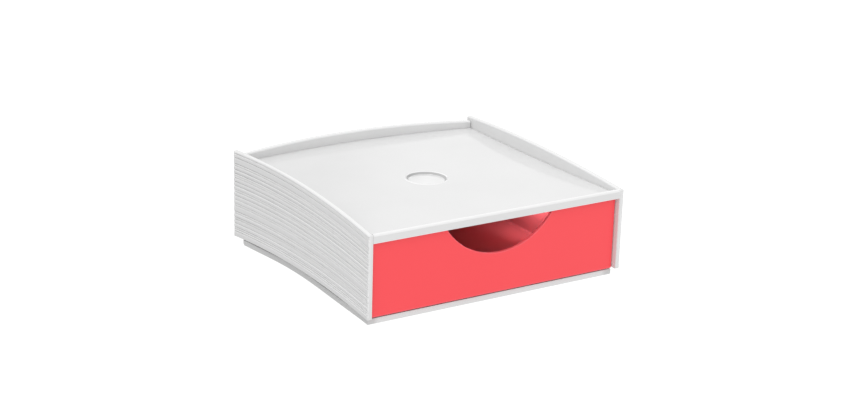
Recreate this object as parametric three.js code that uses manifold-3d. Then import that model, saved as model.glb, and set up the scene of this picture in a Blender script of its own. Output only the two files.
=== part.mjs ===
// Stackable desk drawer: a white housing whose side panels are ribbed like a stack of paper,
// with one coral drawer that slides out at the front on two runners.
// Millimetres, X across, -Y at the front, +Z up, origin below the middle of the whole part.
import * as THREE from 'three';
import { mergeVertices } from 'three/addons/utils/BufferGeometryUtils.js';
import Module from 'manifold-3d';

const wasm = await Module();
wasm.setup();

// Housing
const WIDTH = 264;
const SIDE_DEPTH = 247;
const WAIST = 2.7;
const WALL = 4.5;
const WALL_FOOT_Z = 7.5;
const FOOT_ARCH = 5.2;
const FOOT_FALL = 2.5;
const RIM_FRONT_Z = 82.6;
const RIM_BACK_Z = 88.6;
const RIM_ARCH = 5.8;
const RIM_ROUND = 0.8;
const BACK_RECESS = 3;
const BACK_BULGE = 12;
const BACK_RIM_Z = 85.5;
const BACK_ARCH = 3.2;
const PANEL_GAP = 0.3;

// Paper ribs on the side panels: sheet thicknesses from the top edge down, as shares of the stack
const SHEET_SHARES = [1, 2, 3, 1, 2, 2, 1, 1, 2, 2, 2, 1, 2, 2, 2, 1, 3, 1, 2, 1, 2, 2, 1, 1, 3];
const GROOVE_DEPTH = 0.6;
const GROOVE_HEIGHT = 0.5;
const SHEET_ROUND = 0.35;

// Tray on top
const TRAY_Z = 78.4;
const TRAY_PLATE = 2.1;
const LIP_THICK = 4.5;
const LIP_DROP = 1.8;
const LIP_ROUND = 0.8;
const TRAY_RIB = 1.8;
const TRAY_RIB_DEPTH = 2.9;
const TRAY_RIB_COUNT = 4;
const LEDGE = 2.4;
const LEDGE_START = 14;

// Badge near the middle of the tray
const BADGE_FORWARD = 2.8;
const BADGE_RING_R = 23.5;
const BADGE_R = 19.5;
const BADGE_SINK = 2.2;
const BADGE_THICK = 0.9;
const BADGE_PAD = 2.2;
const BADGE_GAP = 0.3;
const BADGE_ROUND = 0.3;

// Plinth below
const PLINTH_INSET = 5;
const PLINTH_FRONT = 6.9;
const PLINTH_TOP_Z = 7.2;
const PLINTH_BOTTOM_Z = 0.5;
const PLINTH_PLATE = 2.4;
const PLINTH_SKIRT = 2.5;
const PLINTH_RIB = 1.6;
const PLINTH_CELLS_ACROSS = 9;
const PLINTH_CELLS_DEEP = 9;
const UPSTAND_THICK = 1.6;
const UPSTAND_LAP = 1.5;
const UPSTAND_GAP = 0.6;

// Feet
const FOOT_R = 6.5;
const FOOT_POCKET = 1.5;
const FOOT_GAP = 0.3;
const FOOT_ROUND = 0.4;
const FOOT_FROM_SIDE = 24;
const FOOT_FROM_END = 26;
const FOOT_PAD_WALL = 2;

// Screws and the bosses that they bite
const SCREW_R = 1.3;
const SCREW_HEAD_R = 2.6;
const SCREW_HEAD = 1.6;
const SCREW_LENGTH = 13;
const SCREW_SEAT_Z = 3.1;
const SCREW_GAP = 0.3;
const SCREW_TIP = 1.2;
const BOSS_R = 3;
const BOSS_HEIGHT = 12;
const BOSS_INSIDE = 6.2;
const BOSS_FROM_END = 22;
const BACK_BOSS_FROM_SIDE = 65.5;
const SCREW_PAD_R = 4.6;

// Drawer
const DRAWER_RECESS = 4.5;
const FRONT_THICK = 3;
const FRONT_GAP = 0.6;
const FRONT_TOP_GAP = 0.6;
const FRONT_FOOT_GAP = 1.2;
const FRONT_EDGE = 0.5;
const TUB_SIDE_ROOM = 12.8;
const TUB_BACK_ROOM = 10;
const TUB_WALL = 2.2;
const TUB_FLOOR = 2.2;
const TUB_SIDE_Z = 67.8;
const TUB_BACK_Z = 70.6;
const TUB_CORNER_R = 7;
const SCOOP_R = 65.7;
const SCOOP_LOW_Z = 44.1;
const SCOOP_EDGE = 0.9;
const GUSSET_SHARES = [0.3, 0.55, 0.8];
const GUSSET_REACH = 9;
const GUSSET_THICK = 2;

// Runners
const RUNNER_FLOOR = 2;
const RUNNER_WALL = 2;
const RUNNER_INSIDE = 10;
const RUNNER_HEIGHT = 12;
const RUNNER_FRONT = 16;
const RUNNER_STOP = 2.4;
const RUNNING_GAP = 0.3;
const GUIDE_GAP = 0.5;
const PEG_R = 2;
const PEG_LENGTH = 2;
const PEG_FROM_END = 40;

// Stop clips below the tray
const CLIP_FROM_SIDE = 50;
const CLIP_WIDTH = 18;
const CLIP_FLANGE = 12;
const CLIP_THICK = 1.8;
const CLIP_Y = 50;
const CLIP_TONGUE = 2.6;
const CLIP_BITE = 1.8;
const CLIP_PEG_R = 1.8;
const CLIP_PEG_LENGTH = 1.1;

// Facets and the overrun of a cut
const STATIONS = 12;
const CORNER_STEPS = 6;
const ROUND_STEPS = 24;
const SMALL_STEPS = 12;
const SCOOP_STEPS = 72;
const OVERRUN = 2;

// Sizes that follow
const FRONT_Y = -(SIDE_DEPTH - BACK_RECESS + BACK_BULGE) / 2;
const SIDE_END_Y = FRONT_Y + SIDE_DEPTH;
const BACK_END_Y = SIDE_END_Y - BACK_RECESS;
const HALF_INSIDE = WIDTH / 2 - WALL;
const BACK_BOSS_X = HALF_INSIDE - BACK_BOSS_FROM_SIDE;
const BACK_FOOT_Z = PLINTH_TOP_Z + PANEL_GAP;
const TRAY_UNDER_Z = TRAY_Z - TRAY_PLATE;
const LIP_FOOT_Z = TRAY_UNDER_Z - LIP_DROP;
const TUB_HALF_WIDTH = HALF_INSIDE - WAIST - TUB_SIDE_ROOM;
const TUB_BACK_Y = BACK_END_Y - WALL - TUB_BACK_ROOM;
const DRAWER_FRONT_Y = FRONT_Y + DRAWER_RECESS;
const FRONT_FOOT_Z = PLINTH_TOP_Z + FRONT_FOOT_GAP;
const FRONT_TOP_Z = LIP_FOOT_Z - FRONT_TOP_GAP;
const TUB_FOOT_Z = PLINTH_TOP_Z + RUNNER_FLOOR + RUNNING_GAP;
const BADGE_Y = FRONT_Y + SIDE_DEPTH / 2 - BADGE_FORWARD;
const CLIP_X = TUB_HALF_WIDTH - CLIP_FROM_SIDE;
const CLIP_PEG_Y = FRONT_Y + CLIP_Y + (CLIP_TONGUE + CLIP_FLANGE) / 2;
const RUNNER_GUIDE_X = TUB_HALF_WIDTH + GUIDE_GAP;
const RUNNER_END_Y = TUB_BACK_Y + RUNNING_GAP + RUNNER_STOP;
const RUNNER_PEG_X = RUNNER_GUIDE_X - RUNNER_INSIDE / 2;
const RUNNER_PEG_YS = [FRONT_Y + RUNNER_FRONT + PEG_FROM_END, RUNNER_END_Y - PEG_FROM_END];
const FOOT_PLACES = [FRONT_Y + FOOT_FROM_END, SIDE_END_Y - FOOT_FROM_END].flatMap((y) => [
  [-WIDTH / 2 + FOOT_FROM_SIDE, y],
  [WIDTH / 2 - FOOT_FROM_SIDE, y],
]);

// Curves that the pieces share

// Zero at both ends of a side, one in its middle
function bow(share) {
  return 4 * share * (1 - share);
}

function sideShare(y) {
  return (y - FRONT_Y) / SIDE_DEPTH;
}

// Half of the outside width at a depth: the sides draw in to a waist
function halfWidthAt(y) {
  return WIDTH / 2 - WAIST * bow(sideShare(y));
}

function rimTopAt(y) {
  const share = sideShare(y);
  return RIM_FRONT_Z + (RIM_BACK_Z - RIM_FRONT_Z) * share + RIM_ARCH * bow(share);
}

// Lower edge of a side panel: arched like the rim, so that the rim of the unit below fits under it
function wallFootAt(y) {
  const share = sideShare(y);
  return WALL_FOOT_Z - FOOT_FALL * share + FOOT_ARCH * bow(share);
}

// The plinth's upstand closes the arch from inside
function upstandTopAt(y) {
  return Math.max(wallFootAt(y), PLINTH_TOP_Z) + UPSTAND_LAP;
}

// Outer face of the back panel: it bulges to the rear
function backFaceAt(x) {
  return BACK_END_Y + BACK_BULGE * (1 - (x / HALF_INSIDE) ** 2);
}

function backRimAt(x) {
  return BACK_RIM_Z + BACK_ARCH * (1 - (x / HALF_INSIDE) ** 2);
}

// Solid helpers

// Six times the volume inside the triangles, below zero when they face inwards
function signedSize(points, faces) {
  const corners = [new THREE.Vector3(), new THREE.Vector3(), new THREE.Vector3()];
  let sum = 0;
  for (let face = 0; face < faces.length; face += 3) {
    corners.forEach((corner, turn) => corner.fromArray(points, faces[face + turn] * 3));
    sum += corners[0].dot(corners[1].cross(corners[2]));
  }
  return sum;
}

function toSolid(geometry) {
  const bare = geometry.clone();
  bare.deleteAttribute('normal');
  bare.deleteAttribute('uv');
  const merged = mergeVertices(bare);
  const points = new Float32Array(merged.attributes.position.array);
  const faces = new Uint32Array(merged.index.array);
  if (signedSize(points, faces) < 0) faces.reverse();
  return new wasm.Manifold(new wasm.Mesh({ numProp: 3, vertProperties: points, triVerts: faces }));
}

function toGeometry(solid) {
  const mesh = solid.getMesh();
  const geometry = new THREE.BufferGeometry();
  geometry.setAttribute('position', new THREE.BufferAttribute(new Float32Array(mesh.vertProperties), 3));
  geometry.setIndex(new THREE.BufferAttribute(new Uint32Array(mesh.triVerts), 1));
  return geometry;
}

function joined(solids) {
  return solids.reduce((whole, solid) => whole.add(solid));
}

function mirrored(solid) {
  return solid.mirror([1, 0, 0]);
}

function stationsBetween(start, end, count = STATIONS) {
  return Array.from({ length: count + 1 }, (_, step) => start + (end - start) * step / count);
}

// A box from its lowest corner to its highest
function boxBetween(low, high) {
  const size = high.map((value, axis) => value - low[axis]);
  const middle = high.map((value, axis) => (value + low[axis]) / 2);
  return toSolid(new THREE.BoxGeometry(...size).translate(...middle));
}

// A piece turned about the upright axis at x, y, from its profile of [radius, z]
function turned(profile, x, y, steps = ROUND_STEPS) {
  const points = profile.map(([radius, z]) => new THREE.Vector2(radius, z));
  return toSolid(new THREE.LatheGeometry(points, steps).rotateX(Math.PI / 2).translate(x, y, 0));
}

function upright(radius, lowZ, highZ, x, y, steps = SMALL_STEPS) {
  return turned([[0, lowZ], [radius, lowZ], [radius, highZ], [0, highZ]], x, y, steps);
}

// An outline of points, carried straight for a depth
function carried(outline, depth) {
  const shape = new THREE.Shape(outline.map((point) => new THREE.Vector2(...point)));
  return new THREE.ExtrudeGeometry(shape, { depth, bevelEnabled: false });
}

// A plan outline of [x, y] points, raised from one level to another
function raised(outline, lowZ, highZ) {
  return toSolid(carried(outline, highZ - lowZ).translate(0, 0, lowZ));
}

// A side view of [y, z] points, carried across from one x to another
function carriedAcross(outline, lowX, highX) {
  const turn = new THREE.Matrix4().makeBasis(
    new THREE.Vector3(0, 1, 0),
    new THREE.Vector3(0, 0, 1),
    new THREE.Vector3(1, 0, 0),
  );
  return toSolid(carried(outline, highX - lowX).applyMatrix4(turn).translate(lowX, 0, 0));
}

// A front view of [x, z] points, carried back from one y to another
function carriedBack(outline, lowY, highY) {
  return toSolid(carried(outline, highY - lowY).rotateX(Math.PI / 2).translate(0, highY, 0));
}

// A body through rings of [x, y, z] points: every ring has as many, and the end rings are flat
function loft(rings, flatAxes) {
  const count = rings[0].length;
  const last = (rings.length - 1) * count;
  const faces = [];
  for (let ring = 0; ring + 1 < rings.length; ring += 1) {
    for (let point = 0; point < count; point += 1) {
      const a = ring * count + point;
      const b = ring * count + (point + 1) % count;
      faces.push(a, b, b + count, a, b + count, a + count);
    }
  }
  const contour = rings[0].map((point) => new THREE.Vector2(point[flatAxes[0]], point[flatAxes[1]]));
  const against = THREE.ShapeUtils.isClockWise(contour);
  for (const [a, b, c] of THREE.ShapeUtils.triangulateShape(contour, [])) {
    const cap = against ? [a, c, b] : [a, b, c];
    faces.push(cap[0], cap[2], cap[1]);
    faces.push(...cap.map((point) => last + point));
  }
  const geometry = new THREE.BufferGeometry();
  geometry.setAttribute('position', new THREE.Float32BufferAttribute(rings.flat(2), 3));
  geometry.setIndex(faces);
  return toSolid(geometry);
}

// Outline of the housing in plan, drawn in from the outer faces all round, from a front edge
function planOutline(frontY, inset) {
  const cornerX = halfWidthAt(BACK_END_Y - inset) - inset;
  const endY = backFaceAt(cornerX) - inset;
  const right = stationsBetween(frontY, endY).map((y) => [halfWidthAt(y) - inset, y]);
  const back = stationsBetween(cornerX, -cornerX).slice(1, -1).map((x) => [x, backFaceAt(x) - inset]);
  const left = right.map(([x, y]) => [-x, y]).reverse();
  return [...right, ...back, ...left];
}

// Screw places: two at each side and two at the back
const SIDE_SCREW_YS = [FRONT_Y + BOSS_FROM_END, SIDE_END_Y - BOSS_FROM_END];
const BACK_SCREW_Y = backFaceAt(BACK_BOSS_X) - WALL - BOSS_INSIDE;

function sideScrewX(y) {
  return halfWidthAt(y) - WALL - BOSS_INSIDE;
}

const SCREW_PLACES = [
  ...SIDE_SCREW_YS.map((y) => [-sideScrewX(y), y]),
  ...SIDE_SCREW_YS.map((y) => [sideScrewX(y), y]),
  [-BACK_BOSS_X, BACK_SCREW_Y],
  [BACK_BOSS_X, BACK_SCREW_Y],
];

// An upright boss that stands on the plinth, with a web to the wall that carries it
function screwBoss(x, y, wallX, wallY, webFootZ) {
  const highZ = PLINTH_TOP_Z + BOSS_HEIGHT;
  const sideways = wallX === x ? BOSS_R : 0;
  const lengthways = wallY === y ? BOSS_R : 0;
  const web = boxBetween(
    [Math.min(x, wallX) - sideways, Math.min(y, wallY) - lengthways, webFootZ],
    [Math.max(x, wallX) + sideways, Math.max(y, wallY) + lengthways, highZ],
  );
  return upright(BOSS_R, PLINTH_TOP_Z, highZ, x, y).add(web);
}

function screwHole(x, y) {
  const topZ = SCREW_SEAT_Z + SCREW_LENGTH + SCREW_GAP;
  return upright(SCREW_R + SCREW_GAP, PLINTH_TOP_Z - OVERRUN, topZ, x, y);
}

// Section of a side panel: down over the sheets on the outside, up the plain inner face.
// The height is shared out among the sheets, so they fan out as the rim rises to the back.
function sidePanelSection(y) {
  const outside = halfWidthAt(y);
  const inside = outside - WALL;
  const topZ = rimTopAt(y);
  const footZ = wallFootAt(y);
  const stack = SHEET_SHARES.reduce((sum, sheet) => sum + sheet, 0);
  const section = [[outside - RIM_ROUND, y, topZ], [outside, y, topZ - RIM_ROUND]];
  let above = 0;
  for (const sheet of SHEET_SHARES.slice(0, -1)) {
    above += sheet;
    const z = topZ - (topZ - footZ) * above / stack;
    section.push([outside, y, z]);
    section.push([outside - GROOVE_DEPTH, y, z - GROOVE_HEIGHT]);
    section.push([outside, y, z - GROOVE_HEIGHT - SHEET_ROUND]);
  }
  section.push([outside, y, footZ]);
  section.push([inside, y, footZ]);
  section.push([inside, y, topZ - RIM_ROUND]);
  section.push([inside + RIM_ROUND, y, topZ]);
  return section;
}

// Section of the ledge inside a side panel, which carries the tray's edge
function sideLedgeSection(y) {
  const wallMiddle = halfWidthAt(y) - WALL / 2;
  const inside = halfWidthAt(y) - WALL;
  return [
    [wallMiddle, y, TRAY_UNDER_Z],
    [wallMiddle, y, TRAY_UNDER_Z - LEDGE - LEDGE],
    [inside, y, TRAY_UNDER_Z - LEDGE - LEDGE],
    [inside - LEDGE, y, TRAY_UNDER_Z - LEDGE],
    [inside - LEDGE, y, TRAY_UNDER_Z],
  ];
}

// The panel on the right: the left one is its mirror image
function sidePanel() {
  const shell = loft(stationsBetween(FRONT_Y, SIDE_END_Y).map(sidePanelSection), [0, 2]);
  const ledgeEnd = BACK_END_Y - WALL - LEDGE - PANEL_GAP;
  const ledge = loft(stationsBetween(FRONT_Y + LEDGE_START, ledgeEnd).map(sideLedgeSection), [0, 2]);
  const bosses = SIDE_SCREW_YS.map((y) => screwBoss(
    sideScrewX(y),
    y,
    halfWidthAt(y) - WALL / 2,
    y,
    upstandTopAt(y) + UPSTAND_GAP,
  ));
  const holes = SIDE_SCREW_YS.map((y) => screwHole(sideScrewX(y), y));
  return joined([shell, ledge, ...bosses]).subtract(joined(holes));
}

function backPanelSection(x) {
  const outside = backFaceAt(x);
  const inside = outside - WALL;
  const topZ = backRimAt(x);
  return [
    [x, outside, BACK_FOOT_Z],
    [x, outside, topZ - RIM_ROUND],
    [x, outside - RIM_ROUND, topZ],
    [x, inside + RIM_ROUND, topZ],
    [x, inside, topZ - RIM_ROUND],
    [x, inside, TRAY_UNDER_Z],
    [x, inside - LEDGE, TRAY_UNDER_Z],
    [x, inside - LEDGE, TRAY_UNDER_Z - LEDGE],
    [x, inside, TRAY_UNDER_Z - LEDGE - LEDGE],
    [x, inside, BACK_FOOT_Z],
  ];
}

function backPanel() {
  const halfSpan = halfWidthAt(BACK_END_Y - WALL - LEDGE) - WALL - PANEL_GAP;
  const shell = loft(stationsBetween(-halfSpan, halfSpan).map(backPanelSection), [1, 2]);
  const places = [-BACK_BOSS_X, BACK_BOSS_X];
  const bosses = places.map((x) => screwBoss(x, BACK_SCREW_Y, x, backFaceAt(x) - WALL / 2, BACK_FOOT_Z));
  const holes = places.map((x) => screwHole(x, BACK_SCREW_Y));
  return joined([shell, ...bosses]).subtract(joined(holes));
}

// Tray: a flat plate between the panels with a raised lip along the front edge
function topTray() {
  const lipBackY = FRONT_Y + LIP_THICK;
  const endY = BACK_END_Y + BACK_BULGE;
  const profile = [
    [FRONT_Y, LIP_FOOT_Z],
    [lipBackY, LIP_FOOT_Z],
    [lipBackY, TRAY_UNDER_Z],
    [endY, TRAY_UNDER_Z],
    [endY, TRAY_Z],
    [lipBackY + LIP_ROUND, TRAY_Z],
    [lipBackY, TRAY_Z + LIP_ROUND],
    [lipBackY, RIM_FRONT_Z - LIP_ROUND],
    [lipBackY - LIP_ROUND, RIM_FRONT_Z],
    [FRONT_Y + LIP_ROUND, RIM_FRONT_Z],
    [FRONT_Y, RIM_FRONT_Z - LIP_ROUND],
  ];
  const plan = raised(planOutline(FRONT_Y, WALL + PANEL_GAP), LIP_FOOT_Z, RIM_FRONT_Z);
  const plate = carriedAcross(profile, -WIDTH / 2, WIDTH / 2).intersect(plan);
  const ribReach = WIDTH / 2 - WAIST - WALL - LEDGE - PANEL_GAP;
  const ribFrom = FRONT_Y + CLIP_Y + CLIP_FLANGE;
  const ribTo = BACK_END_Y - WALL - LEDGE;
  const ribs = stationsBetween(ribFrom, ribTo, TRAY_RIB_COUNT + 1).slice(1, -1).map((y) => boxBetween(
    [-ribReach, y - TRAY_RIB / 2, TRAY_UNDER_Z - TRAY_RIB_DEPTH],
    [ribReach, y + TRAY_RIB / 2, TRAY_UNDER_Z + TRAY_PLATE / 2],
  ));
  const padUnderZ = TRAY_UNDER_Z - BADGE_PAD;
  const pad = upright(BADGE_RING_R, padUnderZ, TRAY_Z - TRAY_PLATE / 2, 0, BADGE_Y, ROUND_STEPS);
  const floorZ = TRAY_Z - BADGE_SINK;
  const recess = turned([
    [0, floorZ],
    [BADGE_R, floorZ],
    [BADGE_R, floorZ + BADGE_SINK / 2],
    [BADGE_RING_R, TRAY_Z],
    [BADGE_RING_R, TRAY_Z + OVERRUN],
    [0, TRAY_Z + OVERRUN],
  ], 0, BADGE_Y);
  const pegHoles = [-CLIP_X, CLIP_X].map((x) => upright(
    CLIP_PEG_R + PANEL_GAP,
    TRAY_UNDER_Z - OVERRUN,
    TRAY_UNDER_Z + CLIP_PEG_LENGTH + PANEL_GAP,
    x,
    CLIP_PEG_Y,
  ));
  return joined([plate, ...ribs, pad]).subtract(joined([recess, ...pegHoles]));
}

// Plain disc with a rounded rim, pressed into the recess
function trayBadge() {
  const floorZ = TRAY_Z - BADGE_SINK;
  const radius = BADGE_R - BADGE_GAP;
  return turned([
    [0, floorZ],
    [radius, floorZ],
    [radius, floorZ + BADGE_THICK - BADGE_ROUND],
    [radius - BADGE_ROUND, floorZ + BADGE_THICK],
    [0, floorZ + BADGE_THICK],
  ], 0, BADGE_Y);
}

function upstandSection(y) {
  const outside = halfWidthAt(y) - PLINTH_INSET;
  return [
    [outside, y, PLINTH_TOP_Z - PLINTH_PLATE],
    [outside, y, upstandTopAt(y)],
    [outside - UPSTAND_THICK, y, upstandTopAt(y)],
    [outside - UPSTAND_THICK, y, PLINTH_TOP_Z - PLINTH_PLATE],
  ];
}

// Plinth: a plate with a skirt and a grid of stiffening ribs, open below, and an upstand at each side
function basePlinth() {
  const outer = planOutline(FRONT_Y + PLINTH_FRONT, PLINTH_INSET);
  const inner = planOutline(FRONT_Y + PLINTH_FRONT + PLINTH_SKIRT, PLINTH_INSET + PLINTH_SKIRT);
  const plateUnderZ = PLINTH_TOP_Z - PLINTH_PLATE;
  const lowZ = PLINTH_BOTTOM_Z - OVERRUN;
  const reach = WIDTH / 2 - PLINTH_INSET - PLINTH_SKIRT;
  const frontY = FRONT_Y + PLINTH_FRONT + PLINTH_SKIRT;
  const backY = BACK_END_Y + BACK_BULGE - PLINTH_INSET - PLINTH_SKIRT;
  const lengthways = stationsBetween(-reach, reach, PLINTH_CELLS_ACROSS).slice(1, -1).map((x) => boxBetween(
    [x - PLINTH_RIB / 2, frontY - OVERRUN, lowZ - OVERRUN],
    [x + PLINTH_RIB / 2, backY + OVERRUN, plateUnderZ + OVERRUN],
  ));
  const sideways = stationsBetween(frontY, backY, PLINTH_CELLS_DEEP).slice(1, -1).map((y) => boxBetween(
    [-WIDTH / 2, y - PLINTH_RIB / 2, lowZ - OVERRUN],
    [WIDTH / 2, y + PLINTH_RIB / 2, plateUnderZ + OVERRUN],
  ));
  const padR = FOOT_R + FOOT_GAP + FOOT_PAD_WALL;
  const footPads = FOOT_PLACES.map(([x, y]) => upright(padR, lowZ - OVERRUN, PLINTH_TOP_Z, x, y));
  const screwPads = SCREW_PLACES.map(([x, y]) => upright(SCREW_PAD_R, lowZ - OVERRUN, PLINTH_TOP_Z, x, y));
  const pads = [...lengthways, ...sideways, ...footPads, ...screwPads];
  const cells = raised(inner, lowZ, plateUnderZ).subtract(joined(pads));
  const footPockets = FOOT_PLACES.map(([x, y]) => upright(
    FOOT_R + FOOT_GAP,
    lowZ,
    PLINTH_BOTTOM_Z + FOOT_POCKET,
    x,
    y,
    ROUND_STEPS,
  ));
  const screwCuts = SCREW_PLACES.map(([x, y]) => upright(SCREW_HEAD_R + SCREW_GAP, lowZ, SCREW_SEAT_Z, x, y)
    .add(upright(SCREW_R + SCREW_GAP, lowZ, PLINTH_TOP_Z + OVERRUN, x, y)));
  const pegHoles = [-1, 1].flatMap((side) => RUNNER_PEG_YS.map((y) => upright(
    PEG_R + PANEL_GAP,
    PLINTH_TOP_Z - PLINTH_PLATE - OVERRUN,
    PLINTH_TOP_Z + OVERRUN,
    side * RUNNER_PEG_X,
    y,
  )));
  const cuts = joined([cells, ...footPockets, ...screwCuts, ...pegHoles]);
  const upstandFrom = DRAWER_FRONT_Y + FRONT_THICK + FRONT_GAP;
  const upstandTo = BACK_END_Y - PLINTH_INSET - PLINTH_SKIRT;
  const upstand = loft(stationsBetween(upstandFrom, upstandTo).map(upstandSection), [0, 2]);
  const plate = raised(outer, PLINTH_BOTTOM_Z, PLINTH_TOP_Z).subtract(cuts);
  return joined([plate, upstand, mirrored(upstand)]);
}

// Rubber pad that stands a little proud of its pocket
function footPad(x, y) {
  const topZ = PLINTH_BOTTOM_Z + FOOT_POCKET;
  return turned([
    [0, 0],
    [FOOT_R - FOOT_ROUND, 0],
    [FOOT_R, FOOT_ROUND],
    [FOOT_R, topZ],
    [0, topZ],
  ], x, y);
}

// Screw with a flat head in its counterbore and a shank up into the boss
function baseScrew(x, y) {
  const headZ = SCREW_SEAT_Z - SCREW_HEAD;
  const tipZ = SCREW_SEAT_Z + SCREW_LENGTH;
  return turned([
    [0, headZ],
    [SCREW_HEAD_R, headZ],
    [SCREW_HEAD_R, SCREW_SEAT_Z],
    [SCREW_R, SCREW_SEAT_Z],
    [SCREW_R, tipZ - SCREW_TIP],
    [0, tipZ],
  ], x, y, SMALL_STEPS);
}

// Right runner: an angle that the tub's edge slides on, with an upright stop at the back
function runner() {
  const outsideX = RUNNER_GUIDE_X + RUNNER_WALL;
  const insideX = RUNNER_GUIDE_X - RUNNER_INSIDE;
  const floorZ = PLINTH_TOP_Z + RUNNER_FLOOR;
  const topZ = PLINTH_TOP_Z + RUNNER_HEIGHT;
  const angle = carriedBack([
    [insideX, PLINTH_TOP_Z],
    [outsideX, PLINTH_TOP_Z],
    [outsideX, topZ],
    [RUNNER_GUIDE_X, topZ],
    [RUNNER_GUIDE_X, floorZ],
    [insideX, floorZ],
  ], FRONT_Y + RUNNER_FRONT, RUNNER_END_Y);
  const stop = boxBetween(
    [insideX, RUNNER_END_Y - RUNNER_STOP, PLINTH_TOP_Z],
    [outsideX, RUNNER_END_Y, topZ],
  );
  const pegs = RUNNER_PEG_YS.map((y) => upright(
    PEG_R,
    PLINTH_TOP_Z - PEG_LENGTH,
    PLINTH_TOP_Z + RUNNER_FLOOR / 2,
    RUNNER_PEG_X,
    y,
  ));
  return joined([angle, stop, ...pegs]);
}

// Plan outline of the tub, square at the front and round at its back corners
function tubOutline(halfWidth, frontY, backY, cornerR) {
  const right = stationsBetween(0, Math.PI / 2, CORNER_STEPS).map((angle) => [
    halfWidth - cornerR + cornerR * Math.cos(angle),
    backY - cornerR + cornerR * Math.sin(angle),
  ]);
  const left = right.map(([x, y]) => [-x, y]).reverse();
  return [[halfWidth, frontY], ...right, ...left, [-halfWidth, frontY]];
}

// Drawer: tub, front plate with its finger scoop, and gussets behind the plate's ends
function drawer() {
  const plateBackY = DRAWER_FRONT_Y + FRONT_THICK;
  const tub = raised(
    tubOutline(TUB_HALF_WIDTH, plateBackY - FRONT_THICK / 2, TUB_BACK_Y, TUB_CORNER_R),
    TUB_FOOT_Z,
    TUB_BACK_Z,
  );
  const hollow = raised(
    tubOutline(TUB_HALF_WIDTH - TUB_WALL, plateBackY, TUB_BACK_Y - TUB_WALL, TUB_CORNER_R - TUB_WALL),
    TUB_FOOT_Z + TUB_FLOOR,
    TUB_BACK_Z + OVERRUN,
  );
  const sideCut = boxBetween(
    [-WIDTH / 2, plateBackY, TUB_SIDE_Z],
    [WIDTH / 2, TUB_BACK_Y - TUB_CORNER_R, TUB_BACK_Z + OVERRUN],
  );
  const plateHalf = halfWidthAt(plateBackY) - WALL - FRONT_GAP;
  const plate = new THREE.ExtrudeGeometry(
    new THREE.Shape([
      new THREE.Vector2(-plateHalf + FRONT_EDGE, FRONT_FOOT_Z + FRONT_EDGE),
      new THREE.Vector2(plateHalf - FRONT_EDGE, FRONT_FOOT_Z + FRONT_EDGE),
      new THREE.Vector2(plateHalf - FRONT_EDGE, FRONT_TOP_Z - FRONT_EDGE),
      new THREE.Vector2(-plateHalf + FRONT_EDGE, FRONT_TOP_Z - FRONT_EDGE),
    ]),
    {
      depth: FRONT_THICK - FRONT_EDGE - FRONT_EDGE,
      bevelThickness: FRONT_EDGE,
      bevelSize: FRONT_EDGE,
      bevelSegments: 2,
    },
  ).rotateX(Math.PI / 2).translate(0, plateBackY - FRONT_EDGE, 0);
  const gussetZs = GUSSET_SHARES.map((share) => FRONT_FOOT_Z + (FRONT_TOP_Z - FRONT_FOOT_Z) * share);
  const gussets = gussetZs.flatMap((z) => [-1, 1].map((side) => raised([
    [side * (TUB_HALF_WIDTH - TUB_WALL / 2), plateBackY - FRONT_THICK / 2],
    [side * (TUB_HALF_WIDTH + GUSSET_REACH), plateBackY - FRONT_THICK / 2],
    [side * (TUB_HALF_WIDTH - TUB_WALL / 2), plateBackY + GUSSET_REACH],
  ], z, z + GUSSET_THICK)));
  const scoopProfile = [
    [0, DRAWER_FRONT_Y - OVERRUN],
    [SCOOP_R + SCOOP_EDGE, DRAWER_FRONT_Y - OVERRUN],
    [SCOOP_R + SCOOP_EDGE, DRAWER_FRONT_Y],
    [SCOOP_R, DRAWER_FRONT_Y + SCOOP_EDGE],
    [SCOOP_R, plateBackY + OVERRUN],
    [0, plateBackY + OVERRUN],
  ].map((point) => new THREE.Vector2(...point));
  const scoop = toSolid(new THREE.LatheGeometry(scoopProfile, SCOOP_STEPS)
    .translate(0, 0, SCOOP_LOW_Z + SCOOP_R));
  return joined([tub.subtract(hollow.add(sideCut)), toSolid(plate), ...gussets]).subtract(scoop);
}

// Right stop clip: a flange below the tray and a tongue that catches the tub's back wall
function stopClip() {
  const lowX = CLIP_X - CLIP_WIDTH / 2;
  const highX = CLIP_X + CLIP_WIDTH / 2;
  const frontY = FRONT_Y + CLIP_Y;
  const clip = carriedAcross([
    [frontY, TUB_BACK_Z - CLIP_BITE],
    [frontY + CLIP_TONGUE, TUB_BACK_Z - CLIP_BITE],
    [frontY + CLIP_TONGUE, TRAY_UNDER_Z - CLIP_THICK],
    [frontY + CLIP_FLANGE, TRAY_UNDER_Z - CLIP_THICK],
    [frontY + CLIP_FLANGE, TRAY_UNDER_Z],
    [frontY, TRAY_UNDER_Z],
  ], lowX, highX);
  const pegTopZ = TRAY_UNDER_Z + CLIP_PEG_LENGTH;
  return clip.add(upright(CLIP_PEG_R, TRAY_UNDER_Z - CLIP_THICK / 2, pegTopZ, CLIP_X, CLIP_PEG_Y));
}

// Assembly
const white = { color: 0xf0f0f0, roughness: 0.22, metalness: 0 };
const coral = { color: 0xff5f66, roughness: 0.35, metalness: 0 };
const grey = { color: 0xc9cbcc, roughness: 0.4, metalness: 0 };
const rubber = { color: 0x8a8d90, roughness: 0.9, metalness: 0 };
const steel = { color: 0xb8bcc0, roughness: 0.35, metalness: 1 };

const group = new THREE.Group();

function place(name, solid, look) {
  const mesh = new THREE.Mesh(toGeometry(solid), new THREE.MeshStandardMaterial(look));
  mesh.name = name;
  group.add(mesh);
}

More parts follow.
